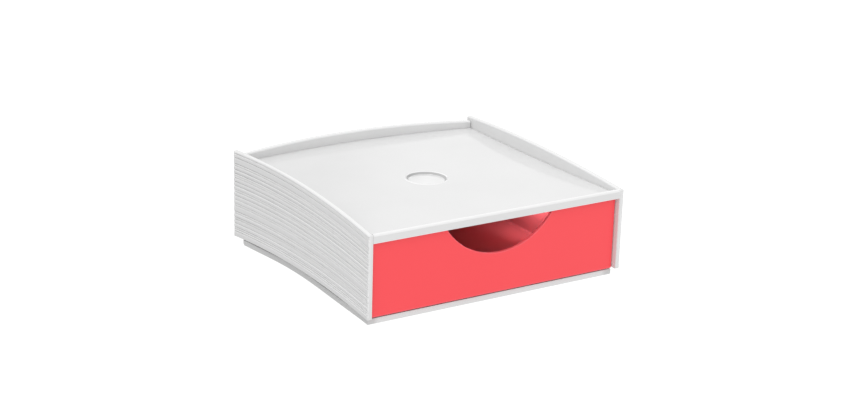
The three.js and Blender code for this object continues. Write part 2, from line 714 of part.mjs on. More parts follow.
place('base_plinth', basePlinth(), white);
place('right_side_panel', sidePanel(), white);
place('left_side_panel', mirrored(sidePanel()), white);
place('back_panel', backPanel(), white);
place('top_tray', topTray(), white);
place('tray_badge', trayBadge(), white);
place('right_runner', runner(), grey);
place('left_runner', mirrored(runner()), grey);
place('right_stop_clip', stopClip(), grey);
place('left_stop_clip', mirrored(stopClip()), grey);
place('drawer', drawer(), coral);
FOOT_PLACES.forEach(([x, y], index) => place(`foot_pad_${index + 1}`, footPad(x, y), rubber));
SCREW_PLACES.forEach(([x, y], index) => place(`base_screw_${index + 1}`, baseScrew(x, y), steel));

export default group;
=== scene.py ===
"""Stackable desk drawer: white housing ribbed like a stack of paper, with a coral drawer."""

import math
import random

import bmesh
import bpy
from bpy.props import FloatProperty, FloatVectorProperty, PointerProperty
from mathutils import Matrix, Vector


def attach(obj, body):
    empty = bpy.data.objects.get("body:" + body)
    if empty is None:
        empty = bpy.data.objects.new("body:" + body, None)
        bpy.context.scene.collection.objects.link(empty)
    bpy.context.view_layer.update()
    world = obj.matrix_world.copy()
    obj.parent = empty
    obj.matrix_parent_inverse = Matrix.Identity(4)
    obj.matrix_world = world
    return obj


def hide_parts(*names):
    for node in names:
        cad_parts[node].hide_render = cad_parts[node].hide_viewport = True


bl_info = {
    "name": "Stackable Desk Drawer",
    "version": (1, 0, 0),
    "blender": (4, 5, 0),
    "location": "3D View > Sidebar > Desk Drawer",
    "description": "Dresses the packed desk drawer with fine mouldings and plastic finishes",
    "category": "Add Mesh",
}

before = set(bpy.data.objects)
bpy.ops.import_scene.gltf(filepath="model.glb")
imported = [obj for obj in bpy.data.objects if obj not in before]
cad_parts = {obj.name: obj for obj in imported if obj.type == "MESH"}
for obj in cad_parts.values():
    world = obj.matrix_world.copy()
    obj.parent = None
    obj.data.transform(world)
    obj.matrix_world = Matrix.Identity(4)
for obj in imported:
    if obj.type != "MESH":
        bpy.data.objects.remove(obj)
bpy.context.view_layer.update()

# Sizes are in millimetres until a mesh is made
MM = 0.001
HOUSING = "housing"
DRAWER_UNIT = "drawer_unit"

# Easings that many mouldings share
EASE = 0.4
FINE_EASE = 0.3
LAP = 0.5
HAIR = 0.01
AXIS_R = 0.001

# Housing
WIDTH = 264
SIDE_DEPTH = 247
WAIST = 2.7
WALL = 4.5
WALL_FOOT_Z = 7.5
FOOT_ARCH = 5.2
FOOT_FALL = 2.5
RIM_FRONT_Z = 82.6
RIM_BACK_Z = 88.6
RIM_ARCH = 5.8
BACK_RECESS = 3
BACK_BULGE = 12
BACK_RIM_Z = 85.5
BACK_ARCH = 3.2
PANEL_GAP = 0.3
SHEET_SHARES = [1, 2, 3, 1, 2, 2, 1, 1, 2, 2, 2, 1, 2, 2, 2, 1, 3, 1, 2, 1, 2, 2, 1, 1, 3]
# Points of a groove's lips: share of its depth, share of its height, painted light (a painted
# highlight on the sheet edge above 0, painted shade in the groove below 0)
UPPER_LIP_SHARES = [(0, 0.36, 0), (0.12, 0.3, -0.4), (1, 0.27, -1)]
LOWER_LIP_SHARES = [
    (1, -0.1, -1), (0.8, -0.2, -0.4), (0.42, -0.45, 0.5), (0.12, -0.75, 1), (0, -0.95, 0.6),
    (0, -1.25, 0),
]
GROOVE_FADE = 3
GROOVE_AT_END = 0.15
INNER_DRAW = 0.15

# Tray, badge and plinth
TRAY_Z = 78.4
TRAY_PLATE = 2.1
TRAY_FRONT = 1
LIP_THICK = 4.5
LIP_DROP = 1.8
LIP_BITE = 0.05
LIP_COVE = 1.2
TRAY_RIB = 1.8
TRAY_RIB_DEPTH = 2.9
TRAY_RIB_COUNT = 4
LEDGE = 2.4
LEDGE_START = 14
BADGE_FORWARD = 2.8
BADGE_R = 19.5
BADGE_SINK = 2.2
BADGE_GAP = 0.3
BADGE_PROUD = 0.15
BADGE_BEAD = 0.5
BADGE_DISC_R = 16
BADGE_DISC_SINK = 2
BADGE_DOME = 1.4
# Points down the ring's inner side: inward, down, painted light (a painted highlight on the ring's
# top, painted shade down its inner side)
BADGE_RING = [(0.5, 0.02, 1), (0.7, 0.1, 1), (0.9, 0.3, -0.75), (2.3, 1.8, -0.75)]
BADGE_RING_FOOT = 2.7
BADGE_STEPS = 128
BADGE_PAD = 2.2
BADGE_PAD_R = 23.5
PLINTH_INSET = 5
PLINTH_FRONT = 6.9
PLINTH_TOP_Z = 7.2
PLINTH_BOTTOM_Z = 0.5
PLINTH_PLATE = 2.4
PLINTH_SKIRT = 2.5
PLINTH_RIB = 1.6
PLINTH_RIB_SINK = 0.2
PLINTH_CROSS_SINK = 0.06
PLINTH_CELLS = 9
# Spread of the plinth, by powers of the share along its side
PLINTH_CURVE = [1.45, -17.9, 121.19, -439.72, 619.93, -281.55]
PLINTH_CURVE_END = 0.94
PLINTH_REBATE = 1.5
PLINTH_REBATE_FRONT = 2.6
PLINTH_REBATE_HEIGHT = 1.5
# Painted shade on the plinth's sides and in its rebate
PLINTH_PAINTED_SHADE = 0.4
PLINTH_PAINTED_SHADE_REACH = 13
REBATE_PAINTED_SHADE = 0.8
PLINTH_CORNER_R = 11
UPSTAND_THICK = 1.6
UPSTAND_SET_IN = 0.1
UPSTAND_FLANGE = 1.1
UPSTAND_LAP = 1.5
UPSTAND_GAP = 0.6

# Feet and screws
FOOT_R = 6.5
FOOT_POCKET = 1.5
FOOT_GAP = 0.3
FOOT_FROM_SIDE = 24
FOOT_FROM_END = 26
FOOT_PAD_WALL = 2
SCREW_R = 1.3
SCREW_HEAD_R = 2.6
SCREW_HEAD = 1.6
SCREW_LENGTH = 13
SCREW_SEAT_Z = 3.1
SCREW_GAP = 0.3
SCREW_TIP = 1.2
SCREW_PITCH = 1.1
SCREW_ROOT = 0.78
SCREW_STEPS = 32
# Head: share of its radius and height above its face. Thread: shares of its radius and a turn
SCREW_HEAD_ROUND = [(0.72, 0), (0.93, 0.18), (1, 0.55)]
THREAD_ROUND = [(SCREW_ROOT, 0.3), (1, 0.55), (SCREW_ROOT, 0.8)]
CROSS_WIDTH = 0.68
CROSS_DEPTH = 1.0
BOSS_R = 3
BOSS_HEIGHT = 12
BOSS_INSIDE = 6.2
BOSS_FROM_END = 22
BOSS_WEB_EASE = 0.2
BOSS_WEB_LAP = 1
BACK_BOSS_FROM_SIDE = 65.5
SCREW_PAD_R = 4.6

# Drawer
DRAWER_RECESS = 4.5
FRONT_THICK = 3
FRONT_GAP = 0.6
FRONT_TOP_GAP = 0.6
FRONT_FOOT_GAP = 0.1
FRONT_CORNER_R = 0.8
FRONT_FRAME = 0.6
SCOOP_X = 2.5
SCOOP_R = 65.7
SCOOP_LOW_Z = 44.1
TUB_SIDE_ROOM = 12.8
TUB_BACK_ROOM = 10
TUB_WALL = 2.2
TUB_FLOOR = 2.2
TUB_SIDE_Z = 67.8
TUB_BACK_Z = 70.6
TUB_CORNER_R = 7
TUB_FOOT_EASE = 1.2
TUB_TOP_EASE = 0.45
TUB_COVE = 2
TUB_RISE_LAP = 1
TUB_RISE_SHARE = 0.7
GUSSET_SHARES = [0.3, 0.55, 0.8]
GUSSET_REACH = 9
GUSSET_THICK = 2

# Runners and stop clips
RUNNER_FLOOR = 2
RUNNER_WALL = 2
RUNNER_INSIDE = 10
RUNNER_HEIGHT = 12
RUNNER_FRONT = 16
RUNNER_STOP = 2.4
RUNNER_STOP_IN = 0.1
RUNNING_GAP = 0.3
GUIDE_GAP = 0.5
PEG_R = 2
PEG_LENGTH = 2
PEG_FROM_END = 40
CLIP_FROM_SIDE = 50
CLIP_WIDTH = 18
CLIP_FLANGE = 12
CLIP_THICK = 1.8
CLIP_Y = 50
CLIP_TONGUE = 2.6
CLIP_BITE = 1.8
CLIP_TIP = 0.6
CLIP_CORNER = 0.8

# Sizes that follow
FRONT_Y = -(SIDE_DEPTH - BACK_RECESS + BACK_BULGE) / 2
SIDE_END_Y = FRONT_Y + SIDE_DEPTH
BACK_END_Y = SIDE_END_Y - BACK_RECESS
HALF_INSIDE = WIDTH / 2 - WALL
BACK_BOSS_X = HALF_INSIDE - BACK_BOSS_FROM_SIDE
BACK_FOOT_Z = PLINTH_TOP_Z + PANEL_GAP
TRAY_UNDER_Z = TRAY_Z - TRAY_PLATE
LIP_FOOT_Z = TRAY_UNDER_Z - LIP_DROP
LIP_BACK_Y = FRONT_Y + LIP_THICK
BADGE_FLOOR_Z = TRAY_Z - BADGE_SINK
BADGE_Y = FRONT_Y + SIDE_DEPTH / 2 - BADGE_FORWARD
PLINTH_FRONT_Y = FRONT_Y + PLINTH_FRONT
PLINTH_UNDER_Z = PLINTH_TOP_Z - PLINTH_PLATE
PLINTH_STEP_Z = PLINTH_TOP_Z - PLINTH_REBATE_HEIGHT
TUB_HALF_WIDTH = HALF_INSIDE - WAIST - TUB_SIDE_ROOM
TUB_BACK_Y = BACK_END_Y - WALL - TUB_BACK_ROOM
TUB_FOOT_Z = PLINTH_TOP_Z + RUNNER_FLOOR + RUNNING_GAP
DRAWER_FRONT_Y = FRONT_Y + DRAWER_RECESS
PLATE_BACK_Y = DRAWER_FRONT_Y + FRONT_THICK
FRONT_FOOT_Z = PLINTH_TOP_Z + FRONT_FOOT_GAP
FRONT_TOP_Z = LIP_FOOT_Z - FRONT_TOP_GAP
CLIP_X = TUB_HALF_WIDTH - CLIP_FROM_SIDE
RUNNER_GUIDE_X = TUB_HALF_WIDTH + GUIDE_GAP
RUNNER_END_Y = TUB_BACK_Y + RUNNING_GAP + RUNNER_STOP
RUNNER_PEG_X = RUNNER_GUIDE_X - RUNNER_INSIDE / 2
RUNNER_PEG_YS = [FRONT_Y + RUNNER_FRONT + PEG_FROM_END, RUNNER_END_Y - PEG_FROM_END]
SIDE_SCREW_YS = [FRONT_Y + BOSS_FROM_END, SIDE_END_Y - BOSS_FROM_END]

# Fineness of the mouldings
SIDE_STATIONS = 72
BACK_STATIONS = 64
OUTLINE_STATIONS = 48
TUB_STATIONS = 16
ARC_STEPS = 6
END_STEPS = 4
ROUND_STEPS = 96
PAPER_SEED = 7
# Bend of an edge that gets the full painted highlight or painted shade
PAINTED_LIGHT_BEND = 15
SHARP_BEND = 38
BEVEL_BEND = 40

# Finish of the plastics
CLOUD_SCALE = 11
GLOSS_SCALE = 25
GLOSS_SPREAD = 0.08
SKIN_STRENGTH = 0.35
PLASTIC_IOR = 1.5
# Where the painted shade of the tub starts, and how far it fades in
TUB_SHADE_LAP = 0.1
TUB_SHADE_REACH = 0.4

# Places, aims and sizes of the lights, in metres
FILL_PLACE, FILL_AIM, FILL_SIZE = (0.088, -0.037, 0.062), (0.108, -0.03, 0.058), (0.03, 0.01)
FRONT_BOX_PLACE, FRONT_BOX_AIM, FRONT_BOX_SIZE = (-1.5, -1.7, 0.75), (0, 0, 0.04), (0.8, 0.6)


# Curves that the mouldings share


def bow(share):
    """Zero at both ends, one in the middle."""
    return 4 * share * (1 - share)


def side_share(y):
    return (y - FRONT_Y) / SIDE_DEPTH


def half_width_at(y):
    return WIDTH / 2 - WAIST * bow(side_share(y))


def rim_top_at(y):
    share = side_share(y)
    return RIM_FRONT_Z + (RIM_BACK_Z - RIM_FRONT_Z) * share + RIM_ARCH * bow(share)


def wall_foot_at(y):
    share = side_share(y)
    return WALL_FOOT_Z - FOOT_FALL * share + FOOT_ARCH * bow(share)


def plinth_half_at(y):
    """Half width of the plinth's skin: waisted in the middle, spread at the back corners."""
    share = min(side_share(y), PLINTH_CURVE_END)
    spread = sum(part * share ** power for power, part in enumerate(PLINTH_CURVE))
    return half_width_at(y) - PLINTH_INSET + spread


def rebate_half_at(y):
    """Half width of the plinth above its rebate, inside both its skin and the panel."""
    return min(half_width_at(y) - PLINTH_INSET, plinth_half_at(y)) - PLINTH_REBATE


def upstand_top_at(y):
    return max(wall_foot_at(y), PLINTH_TOP_Z) + UPSTAND_LAP


def back_face_at(x):
    return BACK_END_Y + BACK_BULGE * (1 - (x / HALF_INSIDE) ** 2)


def back_rim_at(x):
    return BACK_RIM_Z + BACK_ARCH * (1 - (x / HALF_INSIDE) ** 2)


def side_screw_x(y):
    return half_width_at(y) - WALL - BOSS_INSIDE


BACK_SCREW_Y = back_face_at(BACK_BOSS_X) - WALL - BOSS_INSIDE
SCREW_PLACES = (
    [(-side_screw_x(y), y) for y in SIDE_SCREW_YS]
    + [(side_screw_x(y), y) for y in SIDE_SCREW_YS]
    + [(-BACK_BOSS_X, BACK_SCREW_Y), (BACK_BOSS_X, BACK_SCREW_Y)]
)
FOOT_PLACES = [
    (x, y)
    for y in (FRONT_Y + FOOT_FROM_END, SIDE_END_Y - FOOT_FROM_END)
    for x in (-WIDTH / 2 + FOOT_FROM_SIDE, WIDTH / 2 - FOOT_FROM_SIDE)
]
FOOT_BORE = FOOT_R + FOOT_GAP
SCREW_BORE = SCREW_HEAD_R + SCREW_GAP
PLINTH_POCKETS = (
    [(x, y, FOOT_BORE) for x, y in FOOT_PLACES] + [(x, y, SCREW_BORE) for x, y in SCREW_PLACES]
)


def between(start, end, count):
    return [start + (end - start) * step / count for step in range(count + 1)]


def arc(middle, radius, start, end, steps=ARC_STEPS):
    """Points of an arc in a section, its angles in degrees."""
    return [
        (
            middle[0] + radius * math.cos(math.radians(angle)),
            middle[1] + radius * math.sin(math.radians(angle)),
        )
        for angle in between(start, end, steps)
    ]


def plan_outline(front_y, inset, half_at=half_width_at, side_inset=None):
    """Outline of the housing in plan, drawn in from outside, going round from the front right."""
    if side_inset is None:
        side_inset = inset
    corner_x = half_at(BACK_END_Y - inset) - side_inset
    end_y = back_face_at(corner_x) - inset
    right = [(half_at(y) - side_inset, y) for y in between(front_y, end_y, OUTLINE_STATIONS)]
    back = [
        (x, back_face_at(x) - inset)
        for x in between(corner_x, -corner_x, OUTLINE_STATIONS)[1:-1]
    ]
    left = [(-x, y) for x, y in reversed(right)]
    front_x = right[0][0]
    front = [(x, front_y) for x in between(-front_x, front_x, OUTLINE_STATIONS)[1:-1]]
    return right + back + left + front


def tub_outline(draw_in, front_y):
    """Open path round the tub from its front right to its front left, drawn in from outside."""
    half, back = TUB_HALF_WIDTH - draw_in, TUB_BACK_Y - draw_in
    radius = TUB_CORNER_R - draw_in
    right = [(half, y) for y in between(front_y, back - radius, TUB_STATIONS)[:-1]]
    right += arc((half - radius, back - radius), radius, 0, 90, 10)
    return right + [(-x, y) for x, y in reversed(right)]


class Shape:
    """Closed shells of one moulding, gathered before they become a mesh."""

    def __init__(self):
        self.points = []
        self.faces = []
        self.marks = {}
        self.painted_lights = {}

    def loft(self, rings, marked=False):
        """A skin through rings of as many points, closed at both ends."""
        first, count, spans = len(self.points), len(rings[0]), len(rings) - 1
        for ring in range(spans):
            for point in range(count):
                beside = (point + 1) % count
                if marked:
                    here, there = ring / spans, (ring + 1) / spans
                    low, high = point / count, (point + 1) / count
                    self.marks[len(self.faces)] = [
                        (here, low), (here, high), (there, high), (there, low)
                    ]
                start = first + ring * count
                self.faces.append([
                    start + point, start + beside, start + count + beside, start + count + point
                ])
        self.faces.append([first + point for point in reversed(range(count))])
        self.faces.append([first + spans * count + point for point in range(count)])
        self.points.extend(point for ring in rings for point in ring)

    def turn(self, profile, x, y, steps=ROUND_STEPS):
        """A round form about an upright axis, from its profile of radius and height."""
        self.loft([
            [
                (
                    x + max(radius, AXIS_R) * math.cos(math.tau * step / steps),
                    y + max(radius, AXIS_R) * math.sin(math.tau * step / steps),
                    z,
                )
                for step in range(steps)
            ]
            for radius, z in profile
        ])

    def block(self, low, high):
        (x0, y0, z0), (x1, y1, z1) = low, high
        self.raised([(x0, y0), (x1, y0), (x1, y1), (x0, y1)], z0, z1)

    def raised(self, outline, low_z, high_z):
        self.loft([[(x, y, z) for x, y in outline] for z in (low_z, high_z)])

    def across(self, outline, low_x, high_x):
        """A side view of y and z, carried across."""
        stations = (low_x, low_x + FINE_EASE, high_x - FINE_EASE, high_x)
        self.loft([[(x, y, z) for y, z in outline] for x in stations])

    def mirrored(self):
        other = Shape()
        other.points = [(-x, y, z) for x, y, z in self.points]
        other.faces = [face[::-1] for face in self.faces]
        other.marks = {face: marks[::-1] for face, marks in self.marks.items()}
        other.painted_lights = dict(self.painted_lights)
        return other


def make_piece(name, shape, kind, body, node, edge=0.0):
    """Turns a shape into a smooth mesh with crisp corners and hangs it on the frame.

    A point value gives each edge its painted light: a painted highlight on convex edges (1),
    painted shade in concave corners and grooves (-1).
    """
    mesh = bpy.data.meshes.new(name)
    mesh.from_pydata([[c * MM for c in point] for point in shape.points], [], shape.faces)
    if shape.marks:
        layer = mesh.uv_layers.new(name="Stack")
        for polygon in mesh.polygons:
            for loop, mark in zip(polygon.loop_indices, shape.marks.get(polygon.index, [])):
                layer.data[loop].uv = mark
    shell = bmesh.new()
    shell.from_mesh(mesh)
    bmesh.ops.recalc_face_normals(shell, faces=shell.faces)
    # Painted light per point: a painted highlight where the mesh bends outward, painted shade
    # where it bends inward
    painted_lights = shell.verts.layers.float.new("PaintedLight")
    for corner in shell.verts:
        bends = [line.calc_face_angle_signed(0) for line in corner.link_edges]
        painted_light = sum(bends) / math.radians(PAINTED_LIGHT_BEND)
        corner[painted_lights] = shape.painted_lights.get(corner.index, min(max(painted_light, -1), 1))
    for face in shell.faces:
        face.smooth = True
    for line in shell.edges:
        bend = math.degrees(line.calc_face_angle(0))
        line.smooth = len(line.link_faces) == 2 and bend < SHARP_BEND
    shell.to_mesh(mesh)
    shell.free()
    mesh.validate()
    mesh.materials.append(finish_of(kind))
    piece = bpy.data.objects.new(name, mesh)
    bpy.context.scene.collection.objects.link(piece)
    if edge:
        rounding = piece.modifiers.new("Eased edges", "BEVEL")
        rounding.width = edge * MM
        rounding.segments = 3
        rounding.limit_method = "ANGLE"
        rounding.angle_limit = math.radians(BEVEL_BEND)
        rounding.harden_normals = True
    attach(piece, body)
    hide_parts(node)


def make_pair(name, right, kind, node, edge=0.0):
    """Hangs a moulding of the right side and its mirror image."""
    for side, shape in (("right", right), ("left", right.mirrored())):
        make_piece(f"{name}_{side}", shape, kind, HOUSING, f"{side}_{node}", edge)


# Finishes


class Tree:
    """Small helper that adds and links shader nodes."""

    def __init__(self, finish):
        finish.use_nodes = True
        self.tree = finish.node_tree
        self.shader = next(n for n in self.tree.nodes if n.type == "BSDF_PRINCIPLED")

    def add(self, kind, **inputs):
        node = self.tree.nodes.new(kind)
        for name, value in inputs.items():
            node.inputs[name.replace("_", " ")].default_value = value
        return node

    def link(self, source, target):
        self.tree.links.new(source, target)

    def place(self, kind="Object"):
        return self.add("ShaderNodeTexCoord").outputs[kind]

    def base(self):
        """What the shader's colour comes from so far."""
        return self.shader.inputs["Base Color"].links[0].from_socket

    def noise(self, place, scale, detail=2.0, stretch=None):
        if stretch:
            turn = self.add("ShaderNodeMapping", Scale=stretch)
            self.link(place, turn.inputs["Vector"])
            place = turn.outputs["Vector"]
        node = self.add("ShaderNodeTexNoise", Scale=scale, Detail=detail)
        self.link(place, node.inputs["Vector"])
        return node.outputs["Fac"]

    def ranged(self, value, low, high, from_low=0.3, from_high=0.7):
        node = self.add(
            "ShaderNodeMapRange", From_Min=from_low, From_Max=from_high, To_Min=low, To_Max=high
        )
        self.link(value, node.inputs["Value"])
        return node.outputs["Result"]

    def mixed(self, share, first, second):
        node = self.add("ShaderNodeMix")
        node.data_type = "RGBA"
        self.link(share, node.inputs["Factor"])
        for name, value in (("A", first), ("B", second)):
            socket = next(s for s in node.inputs if s.name == name and s.type == "RGBA")
            if isinstance(value, (tuple, list)):
                socket.default_value = (*value[:3], 1)
            else:
                self.link(value, socket)
        return next(s for s in node.outputs if s.type == "RGBA")

    def set_base(self, source):
        self.link(source, self.shader.inputs["Base Color"])


def shade(colour, share):
    return [min(1.0, value * share) for value in colour[:3]]


def moulded_finish(name, colour, roughness, tone=0.02, grain=220, grain_height=0.004,
                   painted_light=1.04, painted_shade=0.96):
    """Moulded plastic: faint flow clouds, a painted highlight on convex edges, painted shade in
    concave corners and a fine skin.
    """
    finish = bpy.data.materials.new(name)
    tree = Tree(finish)
    place = tree.place()
    clouds = tree.ranged(tree.noise(place, CLOUD_SCALE, 3), 0, 1)
    base = tree.mixed(clouds, shade(colour, 1 - tone), shade(colour, 1 + tone))
    # Painted highlight on convex edges and painted shade in concave corners, read from the point
    # values
    painted_light_value = tree.add("ShaderNodeAttribute")
    painted_light_value.attribute_name = "PaintedLight"
    painted_highlight_share = tree.ranged(painted_light_value.outputs["Fac"], 0, 1, 0, 1)
    base = tree.mixed(painted_highlight_share, base, shade(colour, painted_light))
    painted_shade_share = tree.ranged(painted_light_value.outputs["Fac"], 1, 0, -1, 0)
    tree.set_base(tree.mixed(painted_shade_share, base, shade(colour, painted_shade)))
    low, high = roughness * (1 - GLOSS_SPREAD), roughness * (1 + GLOSS_SPREAD)
    gloss = tree.ranged(tree.noise(place, GLOSS_SCALE, 2), low, high)
    tree.link(gloss, tree.shader.inputs["Roughness"])
    skin = tree.add("ShaderNodeBump", Strength=SKIN_STRENGTH, Distance=grain_height * MM)
    tree.link(tree.noise(place, grain, 2), skin.inputs["Height"])
    tree.link(skin.outputs["Normal"], tree.shader.inputs["Normal"])
    tree.shader.inputs["IOR"].default_value = PLASTIC_IOR
    finish.diffuse_color = (*colour[:3], 1)
    return finish


def drawer_finish(name, colour, inside, roughness):
    """Coral plastic, its tub painted darker than the front plate as painted shade inside the
    drawer.
    """
    # A strong painted highlight along the plate's edges and the scoop
    finish = moulded_finish(name, colour, roughness, 0.015, painted_light=1.6)
    tree = Tree(finish)
    # Painted shade: the tub behind the front plate is painted darker
    apart = tree.add("ShaderNodeSeparateXYZ")
    tree.link(tree.place(), apart.inputs[0])
    tub_start = (PLATE_BACK_Y - TUB_SHADE_LAP) * MM
    share = tree.ranged(apart.outputs["Y"], 0, 1, tub_start, tub_start + TUB_SHADE_REACH * MM)
    tree.set_base(tree.mixed(share, tree.base(), inside))
    return finish


def paper_stack_finish(name, colour, roughness, tone, painted_light, painted_shade):
    """Housing plastic on the ribs: each sheet a touch lighter or darker than the next."""
    # Painted shade in the grooves and a painted highlight on the sheet edges, from the point
    # values
    finish = moulded_finish(name, colour, roughness, painted_light=painted_light, painted_shade=painted_shade)
    tree = Tree(finish)
    streaks = tree.ranged(tree.noise(tree.place("UV"), 1, 1, (0.5, 90, 1)), 0, 1, 0.34, 0.66)
    tree.set_base(tree.mixed(streaks, shade(colour, 1 - tone), tree.base()))
    return finish


def rubber_finish(name, colour, roughness):
    """Matt rubber with a coarse skin."""
    finish = moulded_finish(name, colour, roughness, 0.12, 1500, 0.04)
    Tree(finish).shader.inputs["Specular IOR Level"].default_value = 0.3
    return finish


def slide_finish(name, colour, roughness):
    """Runner plastic with long marks worn along the way of the drawer."""
    finish = moulded_finish(name, colour, roughness, 0.03)
    tree = Tree(finish)
    marks = tree.ranged(tree.noise(tree.place(), 1, 3, (900, 14, 900)), 0, 1, 0.4, 0.62)
    tree.set_base(tree.mixed(marks, shade(colour, 0.9), tree.base()))
    return finish


def plated_finish(name, colour, roughness):
    """Zinc plated steel with a fine grain."""
    finish = moulded_finish(name, colour, roughness, 0.08, 900, 0.01)
    Tree(finish).shader.inputs["Metallic"].default_value = 1.0
    return finish


FINISHES = {}


def finish_of(kind):
    """The finish of one sort of part, made when it is first asked for."""
    if kind not in FINISHES:
        look = bpy.context.scene.desk_drawer_finishes
        white, shine, painted_light = tuple(look.housing_colour), look.housing_roughness, look.edge_painted_highlight
        makers = {
            "housing": lambda: moulded_finish(
                "housing_white", white, shine, painted_light=painted_light, painted_shade=look.corner_painted_shade
            ),
            "stack": lambda: paper_stack_finish(
                "paper_stack_white", white, shine, look.sheet_tone, painted_light, look.groove_shade
            ),
            # The plinth and the badge take the strong painted shade of the grooves
            "plinth": lambda: moulded_finish(
                "plinth_white", white, shine, painted_light=painted_light, painted_shade=look.groove_shade
            ),
            "drawer": lambda: drawer_finish(
                "drawer_coral", tuple(look.drawer_colour), tuple(look.tub_painted_shade),
                look.drawer_roughness,
            ),
            "runner": lambda: slide_finish("runner_grey", tuple(look.runner_colour), 0.42),
            "rubber": lambda: rubber_finish("foot_rubber", tuple(look.foot_colour), 0.85),
            "steel": lambda: plated_finish("screw_zinc", tuple(look.screw_colour), 0.32),
        }
        FINISHES[kind] = makers[kind]()
    return FINISHES[kind]


# Settings that a maker would change


def length(name, description, millimetres):
    return FloatProperty(
        name=name, description=description, default=millimetres * MM, unit="LENGTH"
    )


def tint(name, description, default):
    return FloatVectorProperty(
        name=name, description=description, default=default, subtype="COLOR", size=3, min=0, max=1
    )


def factor(name, description, default):
    return FloatProperty(
        name=name, description=description, default=default, subtype="FACTOR", min=0, max=1
    )


def strength(name, description, default):
    return FloatProperty(name=name, description=description, default=default, min=0)


def rotation(name, description, default):
    return FloatProperty(name=name, description=description, default=default, subtype="ANGLE")


class DeskDrawerShape(bpy.types.PropertyGroup):
    groove_depth: length("Groove depth", "How deep the grooves between the sheets go", 0.95)
    groove_height: length("Groove height", "Height of a groove with its rounded lips", 1.2)
    sheet_shift: length("Sheet shift", "How far single sheets of the stack may stand back", 0.16)
    rim_round: length("Rim round", "Rounding along the top edges of the housing", 1.6)
    end_round: length("End round", "Rounding at the upright ends of the panels", 1.2)
    plate_round: length("Drawer front round", "Rounding round the drawer's front plate", 0.8)
    scoop_round: length("Scoop round", "Rounding along the edge of the finger scoop", 0.6)


class DeskDrawerFinishes(bpy.types.PropertyGroup):
    housing_colour: tint("Housing", "Colour of the housing, tray and plinth", (0.75, 0.75, 0.75))
    drawer_colour: tint("Drawer", "Colour of the drawer", (1.0, 0.068, 0.083))
    # A darker coral as painted shade inside the drawer
    tub_painted_shade: tint("Tub", "Colour of the drawer behind its front plate", (0.52, 0.085, 0.098))
    runner_colour: tint("Runners", "Colour of the runners and stop clips", (0.6, 0.61, 0.62))
    foot_colour: tint("Feet", "Colour of the rubber feet", (0.25, 0.26, 0.27))
    screw_colour: tint("Screws", "Colour of the plated screws", (0.62, 0.62, 0.6))
    housing_roughness: factor("Housing roughness", "Roughness of the housing's skin", 0.1)
    drawer_roughness: factor("Drawer roughness", "Roughness of the drawer's skin", 0.3)
    sheet_tone: factor("Sheet tone", "How much single sheets of the stack differ in tone", 0.02)
    # Painted highlight on the housing's convex edges
    edge_painted_highlight: FloatProperty(
        name="Rubbed edges", description="Brightness of the housing's rubbed edges",
        default=1.16, min=0.5, max=1.25,
    )
    # Painted shade in the housing's concave corners
    corner_painted_shade: factor("Hollows", "Brightness of the housing's inner corners", 0.94)
    # Painted shade in the grooves, the plinth's rebate and sides and the badge's ring
    groove_shade: factor("Grooves", "Brightness in the grooves between the sheets", 0.5)


class DeskDrawerStage(bpy.types.PropertyGroup):
    floor_size: length("Floor size", "Width of the floor", 9000)
    floor_colour: tint("Floor", "Colour of the floor", (0.1, 0.1, 0.1))
    floor_glow: strength("Floor glow", "Light that the floor gives off as a lit table", 1.0)
    front_light: strength("Front light", "Room light from the front", 0.74)
    back_light: strength("Back light", "Room light from behind", 0.8)
    left_light: strength("Left light", "Room light from the left", 0.485)
    right_light: strength("Right light", "Room light from the right", 0.0)
    top_light: strength("Top light", "Room light from above", 0.9)
    ground_light: strength("Ground light", "Light thrown back by the table", 0.577)
    ground_front: strength("Ground front light", "More of that light from the front", 0.4)
    step_height: strength("Step height", "Step in the light behind that the tray mirrors", 0.26)
    step_turn: rotation("Step turn", "Bearing of that step, to the right", math.radians(31))
    front_box_power: strength(
        "Front soft box", "Power of the soft box at the front left, in watts", 2.7
    )
    fill_power: strength("Fill", "Power of the small light behind the scoop, in watts", 0.048)
    camera_place: FloatVectorProperty(
        name="Camera place", description="Where the camera stands",
        default=(-0.83545, -1.30463, 0.57172), subtype="TRANSLATION", unit="LENGTH", size=3,
    )
    camera_turn: rotation("Camera turn", "Turn of the camera to the right", 0.57285)
    camera_tilt: rotation("Camera tilt", "How far the camera looks down", 0.32463)
    camera_roll: rotation("Camera roll", "Roll of the camera about its line of sight", 0.02911)
    focal_length: FloatProperty(
        name="Focal length", description="Focal length in millimetres on a 36 mm wide frame",
        default=75.215, min=1,
    )


def settings(context):
    """The shape settings in millimetres."""
    shape = context.scene.desk_drawer_shape
    return {name: getattr(shape, name) / MM for name in DeskDrawerShape.__annotations__}


# Mouldings


def groove(outside, z, depth, height):
    """Section of one groove and its painted light: a sharp lip above, a rounded sheet edge below,
    painted shade in the groove and a painted highlight on the sheet edge.
    """
    return [
        (outside - depth * inward, z + height * rise, painted_shading)
        for inward, rise, painted_shading in UPPER_LIP_SHARES + LOWER_LIP_SHARES
    ]


def rounded_rim(inside, outside, top, radius):
    """Section over the top edge of a wall, from its inner face to its outer one."""
    over = arc((inside + radius, top - radius), radius, 180, 90)
    return over + arc((outside - radius, top - radius), radius, 90, 0)


